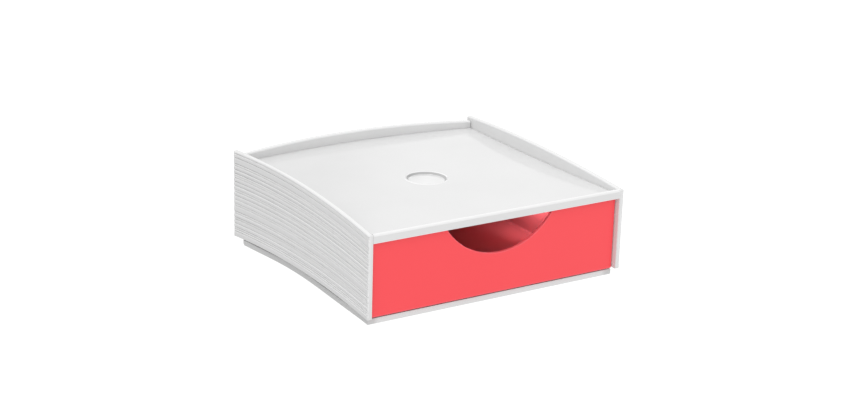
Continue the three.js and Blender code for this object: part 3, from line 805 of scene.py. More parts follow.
def side_section(y, draw_in, size, shifts):
    """Section of a ribbed panel with its painted light: over the rim, down the sheets, round the
    foot.
    """
    outside = half_width_at(y)
    inside = outside - WALL
    top, foot = rim_top_at(y), wall_foot_at(y)
    rim = size["rim_round"]
    section = [(inside, top - rim - EASE, 0)]
    # A painted highlight along the rounded rim
    section += [(x, z, 1) for x, z in rounded_rim(inside, outside, top, rim)]
    section += [(outside, top - rim - LAP, 0)]
    # The grooves fade out where the panel ends at the front
    depth = size["groove_depth"] * min(1, GROOVE_AT_END + (y - FRONT_Y) / GROOVE_FADE)
    stack = sum(SHEET_SHARES)
    above = 0
    for number, sheet in enumerate(SHEET_SHARES[:-1]):
        above += sheet
        z = top - (top - foot) * above / stack - size["groove_height"] / 3
        lips = groove(outside, z, depth, size["groove_height"])
        for place, (x, lip_z, painted_shading) in enumerate(lips):
            shifted = number if place < len(UPPER_LIP_SHARES) else number + 1
            section.append((min(x, outside - shifts[shifted]), lip_z, painted_shading))
    foot_round = arc((outside - EASE - shifts[-1], foot + EASE), EASE, 0, -90, 3)
    foot_round += arc((inside + EASE, foot + EASE), EASE, -90, -180, 3)
    section += [(x, z, 0) for x, z in foot_round]
    section.append((inside, foot + 2 * EASE, 0))
    # The rounded ends take the full painted highlight
    return [
        (
            min(max(x, inside + INNER_DRAW * draw_in), outside - draw_in),
            y,
            min(max(z, foot + draw_in), top - draw_in),
            1 if draw_in else painted_shading,
        )
        for x, z, painted_shading in section
    ]


def rounded_stations(start, end, count, radius):
    """Stations along a moulding with how far each section is drawn in at the rounded ends."""
    opening = [(start + radius - radius * math.cos(a), radius - radius * math.sin(a))
               for a in between(0, math.pi / 2, END_STEPS)]
    closing = [(start + end - place, draw_in) for place, draw_in in reversed(opening)]
    inner = [(place, 0.0) for place in between(start, end, count)[1:-1]]
    return opening + inner + closing


def screw_boss(shape, x, y, wall_x, wall_y, web_foot_z):
    """Bored boss with a web out to its wall, which stands to the right or behind."""
    top, foot = PLINTH_TOP_Z + BOSS_HEIGHT, PLINTH_TOP_Z + 2 * HAIR
    hole, hole_end = SCREW_R + SCREW_GAP, SCREW_SEAT_Z + SCREW_LENGTH + SCREW_GAP
    shape.turn([
        (0, hole_end), (hole, hole_end), (hole, foot), (BOSS_R, foot),
        (BOSS_R, top - EASE), (BOSS_R - EASE, top), (0, top),
    ], x, y, SCREW_STEPS)
    half, start = BOSS_R - BOSS_WEB_EASE, BOSS_R - BOSS_WEB_LAP
    if wall_x > x:
        low, high = (x + start, y - half), (wall_x, y + half)
    else:
        low, high = (x - half, y + start), (x + half, wall_y)
    shape.block((*low, web_foot_z), (*high, top - BOSS_WEB_EASE))


def side_panel_shape(size):
    """Ribbed panel of the right side with the tray's ledge and two screw bosses."""
    random.seed(PAPER_SEED)
    shifts = [size["sheet_shift"] * random.random() for _ in SHEET_SHARES]
    shape = Shape()
    stations = rounded_stations(FRONT_Y, SIDE_END_Y, SIDE_STATIONS, size["end_round"])
    rings = [side_section(y, draw_in, size, shifts) for y, draw_in in stations]
    shape.loft([[(x, y, z) for x, y, z, _ in ring] for ring in rings], marked=True)
    shape.painted_lights = dict(enumerate(painted_shading for ring in rings for *_, painted_shading in ring))
    ledge_end = BACK_END_Y - WALL - LEDGE - PANEL_GAP
    ledge = []
    for y in between(FRONT_Y + LEDGE_START, ledge_end, SIDE_STATIONS // 2):
        middle, inside = half_width_at(y) - WALL / 2, half_width_at(y) - WALL
        ledge.append([
            (middle, y, TRAY_UNDER_Z),
            (middle, y, TRAY_UNDER_Z - 2 * LEDGE),
            (inside, y, TRAY_UNDER_Z - 2 * LEDGE),
            (inside - LEDGE, y, TRAY_UNDER_Z - LEDGE),
            (inside - LEDGE, y, TRAY_UNDER_Z),
        ])
    shape.loft(ledge)
    for y in SIDE_SCREW_YS:
        wall_x, web_foot_z = half_width_at(y) - WALL / 2, upstand_top_at(y) + UPSTAND_GAP
        screw_boss(shape, side_screw_x(y), y, wall_x, y, web_foot_z)
    return shape


def back_panel_shape(size):
    """Bulged back with its arched rim, the tray's ledge and two screw bosses."""
    shape = Shape()
    rim = size["rim_round"]
    span = half_width_at(BACK_END_Y - WALL - LEDGE) - WALL - PANEL_GAP
    rings = []
    for x, draw_in in rounded_stations(-span, span, BACK_STATIONS, size["end_round"] / 2):
        outside, top = back_face_at(x), back_rim_at(x)
        inside = outside - WALL
        section = [(inside, TRAY_UNDER_Z), (inside, top - rim - EASE)]
        section += rounded_rim(inside, outside, top, rim)
        section += [(outside, top - rim - EASE), (outside, BACK_FOOT_Z + 2 * EASE)]
        section += arc((outside - EASE, BACK_FOOT_Z + EASE), EASE, 0, -90, 3)
        section += [
            (inside, BACK_FOOT_Z),
            (inside, TRAY_UNDER_Z - 2 * LEDGE),
            (inside - LEDGE, TRAY_UNDER_Z - LEDGE),
            (inside - LEDGE, TRAY_UNDER_Z),
        ]
        rings.append([
            (
                x,
                min(max(y, inside - LEDGE), outside - draw_in),
                min(max(z, BACK_FOOT_Z + draw_in), top - draw_in),
            )
            for y, z in section
        ])
    shape.loft(rings)
    for x in (-BACK_BOSS_X, BACK_BOSS_X):
        screw_boss(shape, x, BACK_SCREW_Y, x, back_face_at(x) - WALL / 2, BACK_FOOT_Z)
    return shape


def tray_shape(size):
    """Flat plate with its dished badge place, the lip at the front and ribs below."""
    shape = Shape()
    inset, front = WALL + PANEL_GAP, FRONT_Y + TRAY_FRONT
    angles = [math.atan2(y - BADGE_Y, x) for x, y in plan_outline(front, inset)]
    dish = [
        (BADGE_R, BADGE_FLOOR_Z), (BADGE_R, BADGE_FLOOR_Z + 1), (BADGE_R - 0.1, TRAY_Z - 0.5)
    ]
    dish += arc((BADGE_R + BADGE_BEAD / 2, TRAY_Z - 0.2), BADGE_BEAD, 180, 45, 7)
    dish += [(BADGE_R + 0.85, TRAY_Z + 0.03), (BADGE_R + 1.0, TRAY_Z), (BADGE_R + 1.2, TRAY_Z)]
    dish += [(BADGE_R + 7, TRAY_Z)]
    rings = [
        [(r * math.cos(a), BADGE_Y + r * math.sin(a), z) for a in angles] for r, z in dish
    ]
    edge = ((1, TRAY_Z), (0.4, TRAY_Z), (0.12, TRAY_Z - 0.1), (0, TRAY_Z - 0.4), (0, TRAY_UNDER_Z))
    for draw_in, z in edge:
        rings.append([(x, y, z) for x, y in plan_outline(front + draw_in, inset + draw_in)])
    shape.loft(rings)
    # The bead round the badge gets a painted highlight
    for place in range(len(angles), (len(dish) - 2) * len(angles)):
        shape.painted_lights[place] = 1
    # Lip along the front
    rim, cove_y = size["rim_round"], LIP_BACK_Y + LIP_COVE
    lip = arc((FRONT_Y + EASE, LIP_FOOT_Z + EASE), EASE, 270, 180, 3)
    lip += [(FRONT_Y, LIP_FOOT_Z + 2 * EASE), (FRONT_Y, RIM_FRONT_Z - rim - EASE)]
    lip += rounded_rim(FRONT_Y, LIP_BACK_Y, RIM_FRONT_Z, rim)
    lip += arc((cove_y, TRAY_Z + LIP_COVE), LIP_COVE, 180, 270)
    lip += [(cove_y, TRAY_Z - LAP), (LIP_BACK_Y, TRAY_UNDER_Z), (LIP_BACK_Y, LIP_FOOT_Z + EASE)]
    lip += [(LIP_BACK_Y - EASE, LIP_FOOT_Z)]
    end_x = half_width_at(LIP_BACK_Y) - WALL + LIP_BITE
    shape.across(lip, -end_x, end_x)
    # Ribs and the pad below the badge
    reach = WIDTH / 2 - WAIST - WALL - LEDGE - PANEL_GAP
    rib_from, rib_to = FRONT_Y + CLIP_Y + CLIP_FLANGE, BACK_END_Y - WALL - LEDGE
    for y in between(rib_from, rib_to, TRAY_RIB_COUNT + 1)[1:-1]:
        shape.block(
            (-reach, y - TRAY_RIB / 2, TRAY_UNDER_Z - TRAY_RIB_DEPTH),
            (reach, y + TRAY_RIB / 2, TRAY_UNDER_Z + LAP),
        )
    pad_z = TRAY_UNDER_Z - BADGE_PAD
    shape.turn([
        (0, pad_z), (BADGE_PAD_R - 0.5, pad_z), (BADGE_PAD_R, pad_z + 0.5),
        (BADGE_PAD_R, TRAY_UNDER_Z + 0.2), (0, TRAY_UNDER_Z - 0.3),
    ], 0, BADGE_Y)
    return shape


def badge_shape():
    """Plain domed disc, sunk in a soft ring that stands a little proud of the tray.

    Each point of the profile has its painted light as a third value: a painted highlight on the
    ring and the dome, painted shade down the ring's inner side.
    """
    radius, ring_z = BADGE_R - BADGE_GAP, TRAY_Z + BADGE_PROUD
    profile = [(0, BADGE_FLOOR_Z, 0), (radius, BADGE_FLOOR_Z, 0), (radius, ring_z - 0.5, 1)]
    ring = (radius - FINE_EASE, ring_z - FINE_EASE)
    profile += [(r, z, 1) for r, z in arc(ring, FINE_EASE, 0, 90, 4)]
    profile += [(radius - inward, ring_z - down, painted_shading) for inward, down, painted_shading in BADGE_RING]
    disc_z = ring_z - BADGE_DISC_SINK
    profile.append((radius - BADGE_RING_FOOT, disc_z, -0.2))
    profile += [
        (BADGE_DISC_R * share, disc_z + BADGE_DOME * (1 - share * share), 0.4)
        for share in (1, 0.94, 0.86, 0.76, 0.64, 0.5, 0.35, 0.2, 0.1, 0.04, 0)
    ]
    shape = Shape()
    shape.turn([(r, z) for r, z, _ in profile], 0, BADGE_Y, BADGE_STEPS)
    shape.painted_lights = dict(enumerate(painted_shading for *_, painted_shading in profile for _ in range(BADGE_STEPS)))
    return shape


def plinth_ring(draw_in, z):
    """Ring of the plinth's skin, its back corners rounded."""
    path = plan_outline(PLINTH_FRONT_Y + draw_in, PLINTH_INSET + draw_in, plinth_half_at, draw_in)
    corner_x, corner_y = path[OUTLINE_STATIONS]
    radius = PLINTH_CORNER_R - draw_in
    middle_x, middle_y = corner_x - radius, corner_y - radius
    ring = []
    for x, y in path:
        if abs(x) > middle_x and y > middle_y:
            far = math.hypot(abs(x) - middle_x, y - middle_y) / radius
            x = math.copysign(middle_x + (abs(x) - middle_x) / far, x)
            y = middle_y + (y - middle_y) / far
        ring.append((x, y, z))
    return ring


def rebate_ring(draw_in, z):
    """Ring of the plinth's plate above the rebate."""
    front_y = PLINTH_FRONT_Y + PLINTH_REBATE_FRONT + draw_in
    inset = PLINTH_INSET + PLINTH_REBATE + draw_in
    return [(x, y, z) for x, y in plan_outline(front_y, inset, rebate_half_at, draw_in)]


def rib_spans(place, low, high, lengthways):
    """Stretches of a plinth rib that stay clear of the round pockets in its way."""
    blocked = []
    for x, y, radius in PLINTH_POCKETS:
        aside, middle = (place - x, y) if lengthways else (place - y, x)
        reach = radius + PLINTH_RIB / 2
        if abs(aside) < reach:
            half = math.sqrt(reach * reach - aside ** 2)
            blocked.append((middle - half, middle + half))
    spans = []
    for first, last in sorted(blocked):
        if first > low:
            spans.append((low, min(first, high)))
        low = max(low, last)
    if low < high:
        spans.append((low, high))
    return [(start, end) for start, end in spans if end - start > LAP]


def pocket_pad(shape, x, y, outside, bore, mouth_ease, seat_z, steps):
    """Round pad below the plinth's plate with a pocket in it."""
    low, upper = PLINTH_BOTTOM_Z, PLINTH_UNDER_Z + LAP
    shape.turn([
        (0, upper), (outside, upper), (outside, low + FINE_EASE), (outside - FINE_EASE, low),
        (bore + mouth_ease, low), (bore, low + mouth_ease), (bore, seat_z), (0, seat_z),
    ], x, y, steps)


def plinth_upstand(side):
    """Rings of one upstand: a thin wall that closes the gap below the panel's arched foot."""
    start, end = PLATE_BACK_Y + FRONT_GAP, BACK_END_Y - PLINTH_INSET - PLINTH_SKIRT
    foot = PLINTH_UNDER_Z + 0.6
    rings = []
    for y in between(start, end, SIDE_STATIONS // 2):
        outside, height = rebate_half_at(y) - UPSTAND_SET_IN, upstand_top_at(y)
        inside, flange = outside - UPSTAND_THICK, half_width_at(y) - WALL - PANEL_GAP
        section = [
            (outside, foot), (outside, height - UPSTAND_FLANGE),
            (flange, height - UPSTAND_FLANGE), (flange, height - FINE_EASE),
            (flange - FINE_EASE, height), (inside + FINE_EASE, height),
            (inside, height - FINE_EASE), (inside, foot),
        ]
        rings.append([(side * x, y, z) for x, z in section])
    return rings


def plinth_shape():
    """Plinth: a skirted plate with a rebate, ribs and pockets below and two upstands."""
    shape = Shape()
    skirt, low, step = PLINTH_SKIRT, PLINTH_BOTTOM_Z, PLINTH_STEP_Z
    skin = [
        (skirt, PLINTH_UNDER_Z), (skirt, low + 0.5), (skirt - 0.3, low), (0.6, low),
        (0.18, low + 0.18), (0, low + 0.6), (0, low + 1), (0, step - 0.7), (0, step - 0.4),
        (0.12, step - 0.12), (0.4, step),
    ]
    upper = [(0, step), (0, PLINTH_TOP_Z - 0.2), (0.2, PLINTH_TOP_Z), (0.6, PLINTH_TOP_Z)]
    rings = [plinth_ring(draw_in, z) for draw_in, z in skin]
    rings += [rebate_ring(draw_in, z) for draw_in, z in upper]
    shape.loft(rings)
    # Painted shade on the sides and in the rebate, darker than the front
    for number, ring in enumerate(rings):
        for place, (x, _, _) in enumerate(ring):
            beside = place <= OUTLINE_STATIONS or abs(x) > WIDTH / 2 - PLINTH_PAINTED_SHADE_REACH
            painted_shade_share = REBATE_PAINTED_SHADE if number >= len(skin) - 1 else PLINTH_PAINTED_SHADE if beside else 0
            shape.painted_lights[number * len(ring) + place] = -painted_shade_share
    half_rib = PLINTH_RIB / 2
    rib_low, rib_high = low + PLINTH_RIB_SINK, PLINTH_UNDER_Z + LAP
    reach = WIDTH / 2 - PLINTH_INSET - skirt
    rib_front = PLINTH_FRONT_Y + skirt
    for x in between(-reach, reach, PLINTH_CELLS)[1:-1]:
        for y0, y1 in rib_spans(x, rib_front - 1, back_face_at(x) - PLINTH_INSET - 1, True):
            shape.block((x - half_rib, y0, rib_low), (x + half_rib, y1, rib_high))
    # The ribs across are a hair lower, so that no two faces meet
    rib_low += PLINTH_CROSS_SINK
    rib_high -= 0.04
    last_y = BACK_END_Y - PLINTH_INSET - skirt
    for y in between(rib_front, last_y + BACK_BULGE, PLINTH_CELLS)[1:-1]:
        side = min(plinth_half_at(y), half_width_at(y) - PLINTH_INSET) - 1
        if y <= last_y:
            for x0, x1 in rib_spans(y, -side, side, False):
                shape.block((x0, y - half_rib, rib_low), (x1, y + half_rib, rib_high))
    for x, y in FOOT_PLACES:
        outside = FOOT_BORE + FOOT_PAD_WALL
        pocket_pad(shape, x, y, outside, FOOT_BORE, FINE_EASE, low + FOOT_POCKET, 64)
    for x, y in SCREW_PLACES:
        pocket_pad(shape, x, y, SCREW_PAD_R, SCREW_BORE, 0.2, SCREW_SEAT_Z, 48)
    for side in (-1, 1):
        shape.loft(plinth_upstand(side))
    return shape


def scoop_outline(draw_in, scoop_in):
    """Outline of the drawer's front plate with the scoop in its top edge, in x and z."""
    corner = FRONT_CORNER_R
    side = half_width_at(PLATE_BACK_Y) - WALL - FRONT_GAP - draw_in - corner
    foot, top = FRONT_FOOT_Z + draw_in, FRONT_TOP_Z - draw_in
    middle, radius = SCOOP_LOW_Z + SCOOP_R, SCOOP_R + scoop_in
    reach = math.acos((middle - top) / radius)
    outline = arc((side, foot + corner), corner, -90, 0, 3)
    outline += arc((side, top - corner), corner, 0, 90, 3)
    outline += [
        (SCOOP_X + radius * math.sin(angle), middle - radius * math.cos(angle))
        for angle in between(reach, -reach, ROUND_STEPS)
    ]
    outline += arc((-side, top - corner), corner, 90, 180, 3)
    return outline + arc((-side, foot + corner), corner, 180, 270, 3)


def tub_wall_section(top):
    """Draw-in and height of the tub's wall: up outside, over the top, down to the cove."""
    foot, floor_z, ease = TUB_FOOT_Z + TUB_FOOT_EASE, TUB_FOOT_Z + TUB_FLOOR, TUB_TOP_EASE
    section = [(0, foot), (0, top - ease), (ease, top)]
    section += [(TUB_WALL - ease, top), (TUB_WALL, top - ease)]
    section += [
        (TUB_WALL + TUB_COVE * (1 - math.cos(a)), floor_z + TUB_COVE * (1 - math.sin(a)))
        for a in between(0, math.pi / 2, 5)
    ]
    return section + [(TUB_WALL + TUB_COVE, foot)]


def drawer_shape(size):
    """Drawer: front plate with its scoop, the tub with a higher back, and three braces a side."""
    shape = Shape()
    edge, scoop = size["plate_round"], size["scoop_round"]
    frame_ring = scoop_outline(edge + FRONT_FRAME, scoop + FRONT_FRAME)
    rings = [[(x, DRAWER_FRONT_Y, z) for x, z in frame_ring]]
    for bend in between(math.pi / 2, 0, END_STEPS):
        inward, depth = 1 - math.cos(bend), 1 - math.sin(bend)
        y = DRAWER_FRONT_Y + edge * depth
        rings.append([(x, y, z) for x, z in scoop_outline(edge * inward, scoop * inward)])
    for inward, y in ((0, PLATE_BACK_Y - FINE_EASE), (FINE_EASE, PLATE_BACK_Y)):
        rings.append([(x, y, z) for x, z in scoop_outline(inward, inward)])
    shape.loft(rings)
    # Floor of the tub, its lower edge eased
    start = PLATE_BACK_Y - FRONT_THICK / 2
    eased = ((TUB_FOOT_EASE, 0), (0.35, 0.35), (0.05, TUB_FOOT_EASE), (0.05, TUB_FLOOR))
    shape.loft([
        [(x, y, TUB_FOOT_Z + rise) for x, y in tub_outline(draw_in, start)]
        for draw_in, rise in eased
    ])
    # Walls round the tub, from front right to front left, rising at the back corners
    paths = {draw_in: tub_outline(draw_in, start) for draw_in, _ in tub_wall_section(0)}
    rise_y = TUB_BACK_Y - TUB_CORNER_R - TUB_RISE_LAP
    rings = []
    for number, (_, outer_y) in enumerate(paths[0]):
        share = (outer_y - rise_y) / (TUB_CORNER_R * TUB_RISE_SHARE)
        share = min(max(share, 0), 1)
        share = share * share * (3 - 2 * share)
        section = tub_wall_section(TUB_SIDE_Z + (TUB_BACK_Z - TUB_SIDE_Z) * share)
        rings.append([(*paths[draw_in][number], z) for draw_in, z in section])
    shape.loft(rings)
    inside, outside = TUB_HALF_WIDTH - TUB_WALL / 2, TUB_HALF_WIDTH + GUSSET_REACH
    for part in GUSSET_SHARES:
        z = FRONT_FOOT_Z + (FRONT_TOP_Z - FRONT_FOOT_Z) * part
        for side in (-1, 1):
            shape.raised([
                (side * inside, start),
                (side * outside, start),
                (side * outside, PLATE_BACK_Y + 1),
                (side * TUB_HALF_WIDTH, PLATE_BACK_Y + GUSSET_REACH),
                (side * inside, PLATE_BACK_Y + GUSSET_REACH),
            ], z, z + GUSSET_THICK)
    return shape


def runner_shape():
    """Angled runner of the right side with its stop and two pegs into the plinth."""
    shape = Shape()
    inside, outside = RUNNER_GUIDE_X - RUNNER_INSIDE, RUNNER_GUIDE_X + RUNNER_WALL
    base, floor_z = PLINTH_TOP_Z + HAIR, PLINTH_TOP_Z + RUNNER_FLOOR
    top = PLINTH_TOP_Z + RUNNER_HEIGHT
    section = [
        (inside, base), (outside, base), (outside, top), (RUNNER_GUIDE_X, top),
        (RUNNER_GUIDE_X, floor_z), (inside, floor_z),
    ]
    ends = (FRONT_Y + RUNNER_FRONT, RUNNER_END_Y - RUNNER_STOP_IN)
    shape.loft([[(x, y, z) for x, z in section] for y in ends])
    shape.block(
        (inside, RUNNER_END_Y - RUNNER_STOP, base + RUNNER_STOP_IN),
        (outside - RUNNER_STOP_IN, RUNNER_END_Y, top - RUNNER_STOP_IN),
    )
    peg_z = PLINTH_TOP_Z - PEG_LENGTH
    for y in RUNNER_PEG_YS:
        shape.turn([
            (0, peg_z), (PEG_R - EASE, peg_z), (PEG_R, peg_z + EASE),
            (PEG_R, floor_z - LAP), (0, floor_z - LAP),
        ], RUNNER_PEG_X, y, 32)
    return shape


def clip_shape():
    """Stop clip of the right side: a flange below the tray and a tongue down from it."""
    shape = Shape()
    front, foot = FRONT_Y + CLIP_Y, TUB_BACK_Z - CLIP_BITE
    tongue_y, flange_z = front + CLIP_TONGUE, TRAY_UNDER_Z - CLIP_THICK
    shape.across([
        (front, foot + CLIP_TIP), (front + CLIP_TIP, foot), (tongue_y, foot),
        (tongue_y, flange_z - CLIP_CORNER), (tongue_y + CLIP_CORNER, flange_z),
        (front + CLIP_FLANGE, flange_z), (front + CLIP_FLANGE, TRAY_UNDER_Z - HAIR),
        (front, TRAY_UNDER_Z - HAIR),
    ], CLIP_X - CLIP_WIDTH / 2, CLIP_X + CLIP_WIDTH / 2)
    return shape


def foot_shape(x, y):
    """Rubber pad, a little domed, with a fine ring pressed into its face."""
    shape = Shape()
    top, face_r = PLINTH_BOTTOM_Z + FOOT_POCKET, FOOT_R - 0.5
    profile = [(0, 0.12), (1.2, 0.1), (2.6, 0.06), (3.0, 0.3), (3.5, 0.3), (3.9, 0.0)]
    profile += [(face_r, 0.0)] + arc((face_r, 0.5), 0.5, -90, 0) + [(FOOT_R, top), (0, top)]
    shape.turn(profile, x, y, 64)
    return shape


def screw_shape(x, y):
    """Pan head with a cross recess, a shank with its thread and a point."""
    head, tip = SCREW_SEAT_Z - SCREW_HEAD, SCREW_SEAT_Z + SCREW_LENGTH
    turns = [math.tau * step / SCREW_STEPS for step in range(SCREW_STEPS)]

    def ring(radius, z):
        return [(x + radius * math.cos(turn), y + radius * math.sin(turn), z) for turn in turns]

    def cross(reach, z):
        points = []
        for turn in turns:
            arm = abs(((turn + math.pi / 4) % (math.pi / 2)) - math.pi / 4)
            radius = min(reach, CROSS_WIDTH / 2 / max(math.sin(arm), 0.001))
            points.append((x + radius * math.cos(turn), y + radius * math.sin(turn), z))
        return points

    rings = [cross(0.7, head + CROSS_DEPTH), cross(1.35, head + 0.08)]
    rings += [ring(SCREW_HEAD_R * share, head + rise) for share, rise in SCREW_HEAD_ROUND]
    rings.append(ring(SCREW_HEAD_R, SCREW_SEAT_Z))
    root, z = SCREW_R * SCREW_ROOT, SCREW_SEAT_Z + 0.05
    rings.append(ring(root, z))
    while z + SCREW_PITCH < tip - SCREW_TIP:
        rings += [ring(SCREW_R * out, z + SCREW_PITCH * share) for out, share in THREAD_ROUND]
        z += SCREW_PITCH
    rings += [ring(root, tip - SCREW_TIP), ring(0.05, tip)]
    shape = Shape()
    shape.loft(rings)
    return shape


# Stage


def lay_floor(stage):
    """Pale lit table that throws no light or shadow on the drawer."""
    mesh = bpy.data.meshes.new("pale_floor")
    shell = bmesh.new()
    bmesh.ops.create_grid(shell, x_segments=24, y_segments=24, size=stage.floor_size / 2)
    shell.to_mesh(mesh)
    shell.free()
    paper = moulded_finish("pale_paper", tuple(stage.floor_colour), 0.9, 0.004, 300, 0.01)
    inputs = Tree(paper).shader.inputs
    inputs["Specular IOR Level"].default_value = 0.0
    inputs["Emission Color"].default_value = (1, 1, 1, 1)
    inputs["Emission Strength"].default_value = stage.floor_glow
    mesh.materials.append(paper)
    floor = bpy.data.objects.new("pale_floor", mesh)
    bpy.context.scene.collection.objects.link(floor)
    floor.visible_diffuse = False
    floor.visible_glossy = False
    floor.visible_shadow = False


def set_room_light(scene, stage):
    """Soft light from all round, stronger from behind and above, with a step behind."""
    world = bpy.data.worlds.new("studio_room")
    scene.world = world
    world.use_nodes = True
    tree = world.node_tree
    ground = next(n for n in tree.nodes if n.type == "BACKGROUND")
    place = tree.nodes.new("ShaderNodeTexCoord")

    def side(direction, height, from_low=-0.1, from_high=0.9):
        """Light that grows along a direction, up to a height."""
        share = tree.nodes.new("ShaderNodeVectorMath")
        share.operation = "DOT_PRODUCT"
        share.inputs[1].default_value = direction
        tree.links.new(place.outputs["Generated"], share.inputs[0])
        ramp = tree.nodes.new("ShaderNodeMapRange")
        ramp.interpolation_type = "SMOOTHSTEP"
        ramp.inputs["From Min"].default_value = from_low
        ramp.inputs["From Max"].default_value = from_high
        ramp.inputs["To Max"].default_value = height
        tree.links.new(share.outputs["Value"], ramp.inputs["Value"])
        return ramp.outputs["Result"]

    def combined(operation, first, second):
        node = tree.nodes.new("ShaderNodeMath")
        node.operation = operation
        for number, value in enumerate((first, second)):
            if isinstance(value, float):
                node.inputs[number].default_value = value
            else:
                tree.links.new(value, node.inputs[number])
        return node.outputs["Value"]

    above = side((0, 0, 1), 1.0, -0.02, 0.02)
    below = side((0, 0, -1), 1.0, -0.02, 0.02)
    high = 0.0
    for direction, height in (
        ((0, -1, 0), stage.front_light), ((0, 1, 0), stage.back_light),
        ((-1, 0, 0), stage.left_light), ((1, 0, 0), stage.right_light),
    ):
        high = combined("ADD", high, side(direction, height))
    high = combined("ADD", high, side((0, 0, 1), stage.top_light, 0.2, 1.0))
    bearing = (math.cos(stage.step_turn), -math.sin(stage.step_turn), 0)
    beside = side(bearing, stage.step_height, -0.035, 0.035)
    behind = side((0, 1, 0), 1.0, 0.3, 0.6)
    high = combined("ADD", high, combined("MULTIPLY", beside, behind))
    low = combined("ADD", stage.ground_light, side((0, -1, 0), stage.ground_front))
    total = combined(
        "ADD", combined("MULTIPLY", high, above), combined("MULTIPLY", low, below)
    )
    tree.links.new(total, ground.inputs["Strength"])
    ground.inputs["Color"].default_value = (1, 1, 1, 1)


def add_soft_box(name, place, aim, size, power):
    """Rectangular soft box that looks from its place to its aim."""
    light = bpy.data.lights.new(name, "AREA")
    light.shape = "RECTANGLE"
    light.size, light.size_y = size
    light.energy = power
    lamp = bpy.data.objects.new(name, light)
    lamp.location = place
    lamp.rotation_euler = (Vector(aim) - Vector(place)).to_track_quat("-Z", "Y").to_euler()
    bpy.context.scene.collection.objects.link(lamp)


def set_camera(scene, stage):
    """Camera at the photograph's place and angle."""
    turn, tilt, roll = stage.camera_turn, stage.camera_tilt, stage.camera_roll
    ahead = Vector((
        math.sin(turn) * math.cos(tilt), math.cos(turn) * math.cos(tilt), -math.sin(tilt)
    ))
    right = Vector((math.cos(turn), -math.sin(turn), 0))
    up = right.cross(ahead)
    level = math.cos(roll) * right + math.sin(roll) * up
    upright = -math.sin(roll) * right + math.cos(roll) * up
    camera = bpy.data.objects.new("photo_camera", bpy.data.cameras.new("photo_camera"))
    camera.data.sensor_width = 36
    camera.data.lens = stage.focal_length
    camera.data.clip_end = 50
    rows = [(level[i], upright[i], -ahead[i], stage.camera_place[i]) for i in range(3)]
    camera.matrix_world = Matrix((*rows, (0, 0, 0, 1)))
    scene.collection.objects.link(camera)
    scene.camera = camera


# One operator for each piece or group of like pieces


class BuildSidePanels(bpy.types.Operator):
    """Builds the two side panels, ribbed like a stack of paper."""

    bl_idname = "desk_drawer.side_panels"
    bl_label = "Side panels"
    bl_options = {"REGISTER", "UNDO"}

    def execute(self, context):
        right = side_panel_shape(settings(context))
        make_pair("ribbed_panel", right, "stack", "side_panel")
        return {"FINISHED"}


class BuildBackPanel(bpy.types.Operator):
    """Builds the bulged back panel."""

    bl_idname = "desk_drawer.back_panel"
    bl_label = "Back panel"
    bl_options = {"REGISTER", "UNDO"}

    def execute(self, context):
        shape = back_panel_shape(settings(context))
        make_piece("bulged_back", shape, "housing", HOUSING, "back_panel")
        return {"FINISHED"}


class BuildTray(bpy.types.Operator):
    """Builds the tray with its lip and its dished badge place."""

    bl_idname = "desk_drawer.tray"
    bl_label = "Tray"
    bl_options = {"REGISTER", "UNDO"}

    def execute(self, context):
        shape = tray_shape(settings(context))
        make_piece("tray_top_plate", shape, "housing", HOUSING, "top_tray")
        return {"FINISHED"}


class BuildBadge(bpy.types.Operator):
    """Builds the plain disc in the tray."""

    bl_idname = "desk_drawer.badge"
    bl_label = "Badge"
    bl_options = {"REGISTER", "UNDO"}

    def execute(self, context):
        make_piece("plain_badge", badge_shape(), "plinth", HOUSING, "tray_badge")
        return {"FINISHED"}


class BuildPlinth(bpy.types.Operator):
    """Builds the plinth with its ribs, pockets and upstands."""

    bl_idname = "desk_drawer.plinth"
    bl_label = "Plinth"
    bl_options = {"REGISTER", "UNDO"}

    def execute(self, context):
        make_piece("ribbed_plinth", plinth_shape(), "plinth", HOUSING, "base_plinth")
        return {"FINISHED"}


class BuildDrawer(bpy.types.Operator):
    """Builds the drawer: front plate with its scoop, tub and braces."""

    bl_idname = "desk_drawer.drawer"
    bl_label = "Drawer"
    bl_options = {"REGISTER", "UNDO"}

    def execute(self, context):
        shape = drawer_shape(settings(context))
        make_piece("scooped_drawer", shape, "drawer", DRAWER_UNIT, "drawer")
        return {"FINISHED"}


class BuildRunners(bpy.types.Operator):
    """Builds the two runners."""

    bl_idname = "desk_drawer.runners"
    bl_label = "Runners"
    bl_options = {"REGISTER", "UNDO"}

    def execute(self, context):
        make_pair("slide_runner", runner_shape(), "runner", "runner", 0.25)
        return {"FINISHED"}


class BuildStopClips(bpy.types.Operator):
    """Builds the two clips that stop the drawer."""

    bl_idname = "desk_drawer.stop_clips"
    bl_label = "Stop clips"
    bl_options = {"REGISTER", "UNDO"}

    def execute(self, context):
        make_pair("catch_clip", clip_shape(), "runner", "stop_clip", 0.2)
        return {"FINISHED"}


class BuildFeet(bpy.types.Operator):
    """Builds the four rubber feet."""

    bl_idname = "desk_drawer.feet"
    bl_label = "Feet"
    bl_options = {"REGISTER", "UNDO"}

    def execute(self, context):
        for number, place in enumerate(FOOT_PLACES, 1):
            name, node = f"rubber_foot_{number}", f"foot_pad_{number}"
            make_piece(name, foot_shape(*place), "rubber", HOUSING, node)
        return {"FINISHED"}


class BuildScrews(bpy.types.Operator):
    """Builds the six screws."""

    bl_idname = "desk_drawer.screws"
    bl_label = "Screws"
    bl_options = {"REGISTER", "UNDO"}

    def execute(self, context):
        for number, place in enumerate(SCREW_PLACES, 1):
            name, node = f"cross_screw_{number}", f"base_screw_{number}"
            make_piece(name, screw_shape(*place), "steel", HOUSING, node)
        return {"FINISHED"}


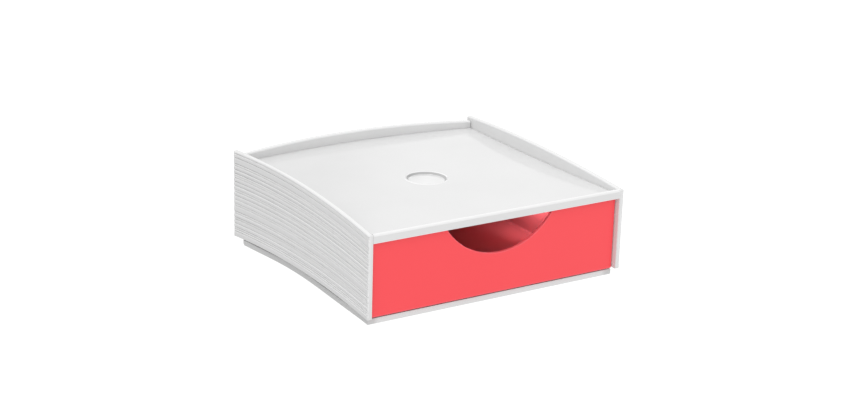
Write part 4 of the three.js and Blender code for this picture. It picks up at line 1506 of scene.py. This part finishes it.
class BuildStage(bpy.types.Operator):
    """Lays the pale floor and sets the soft light and the camera."""

    bl_idname = "desk_drawer.stage"
    bl_label = "Floor, light and camera"
    bl_options = {"REGISTER", "UNDO"}

    def execute(self, context):
        scene, stage = context.scene, context.scene.desk_drawer_stage
        lay_floor(stage)
        set_room_light(scene, stage)
        add_soft_box("scoop_fill", FILL_PLACE, FILL_AIM, FILL_SIZE, stage.fill_power)
        add_soft_box(
            "soft_box_front", FRONT_BOX_PLACE, FRONT_BOX_AIM, FRONT_BOX_SIZE, stage.front_box_power
        )
        set_camera(scene, stage)
        scene.view_settings.view_transform = "Standard"
        return {"FINISHED"}


STEPS = (
    BuildSidePanels, BuildBackPanel, BuildTray, BuildBadge, BuildPlinth, BuildDrawer,
    BuildRunners, BuildStopClips, BuildFeet, BuildScrews, BuildStage,
)
GROUPS = {
    "desk_drawer_shape": DeskDrawerShape,
    "desk_drawer_finishes": DeskDrawerFinishes,
    "desk_drawer_stage": DeskDrawerStage,
}


class DeskDrawerPanel(bpy.types.Panel):
    """Lists the settings and the steps in the sidebar."""

    bl_idname = "VIEW3D_PT_desk_drawer"
    bl_label = "Desk Drawer"
    bl_space_type = "VIEW_3D"
    bl_region_type = "UI"
    bl_category = "Desk Drawer"

    def draw(self, context):
        for name, kind in GROUPS.items():
            box = self.layout.box()
            for key in kind.__annotations__:
                box.prop(getattr(context.scene, name), key)
        for step in STEPS:
            self.layout.operator(step.bl_idname)


def register():
    for group in GROUPS.values():
        bpy.utils.register_class(group)
    for name, group in GROUPS.items():
        setattr(bpy.types.Scene, name, PointerProperty(type=group))
    for step in STEPS:
        bpy.utils.register_class(step)
    bpy.utils.register_class(DeskDrawerPanel)


def unregister():
    bpy.utils.unregister_class(DeskDrawerPanel)
    for step in reversed(STEPS):
        bpy.utils.unregister_class(step)
    for name, group in GROUPS.items():
        delattr(bpy.types.Scene, name)
        bpy.utils.unregister_class(group)


def main():
    register()
    for step in STEPS:
        family, name = step.bl_idname.split(".")
        getattr(getattr(bpy.ops, family), name)()


if __name__ == "__main__":
    main()
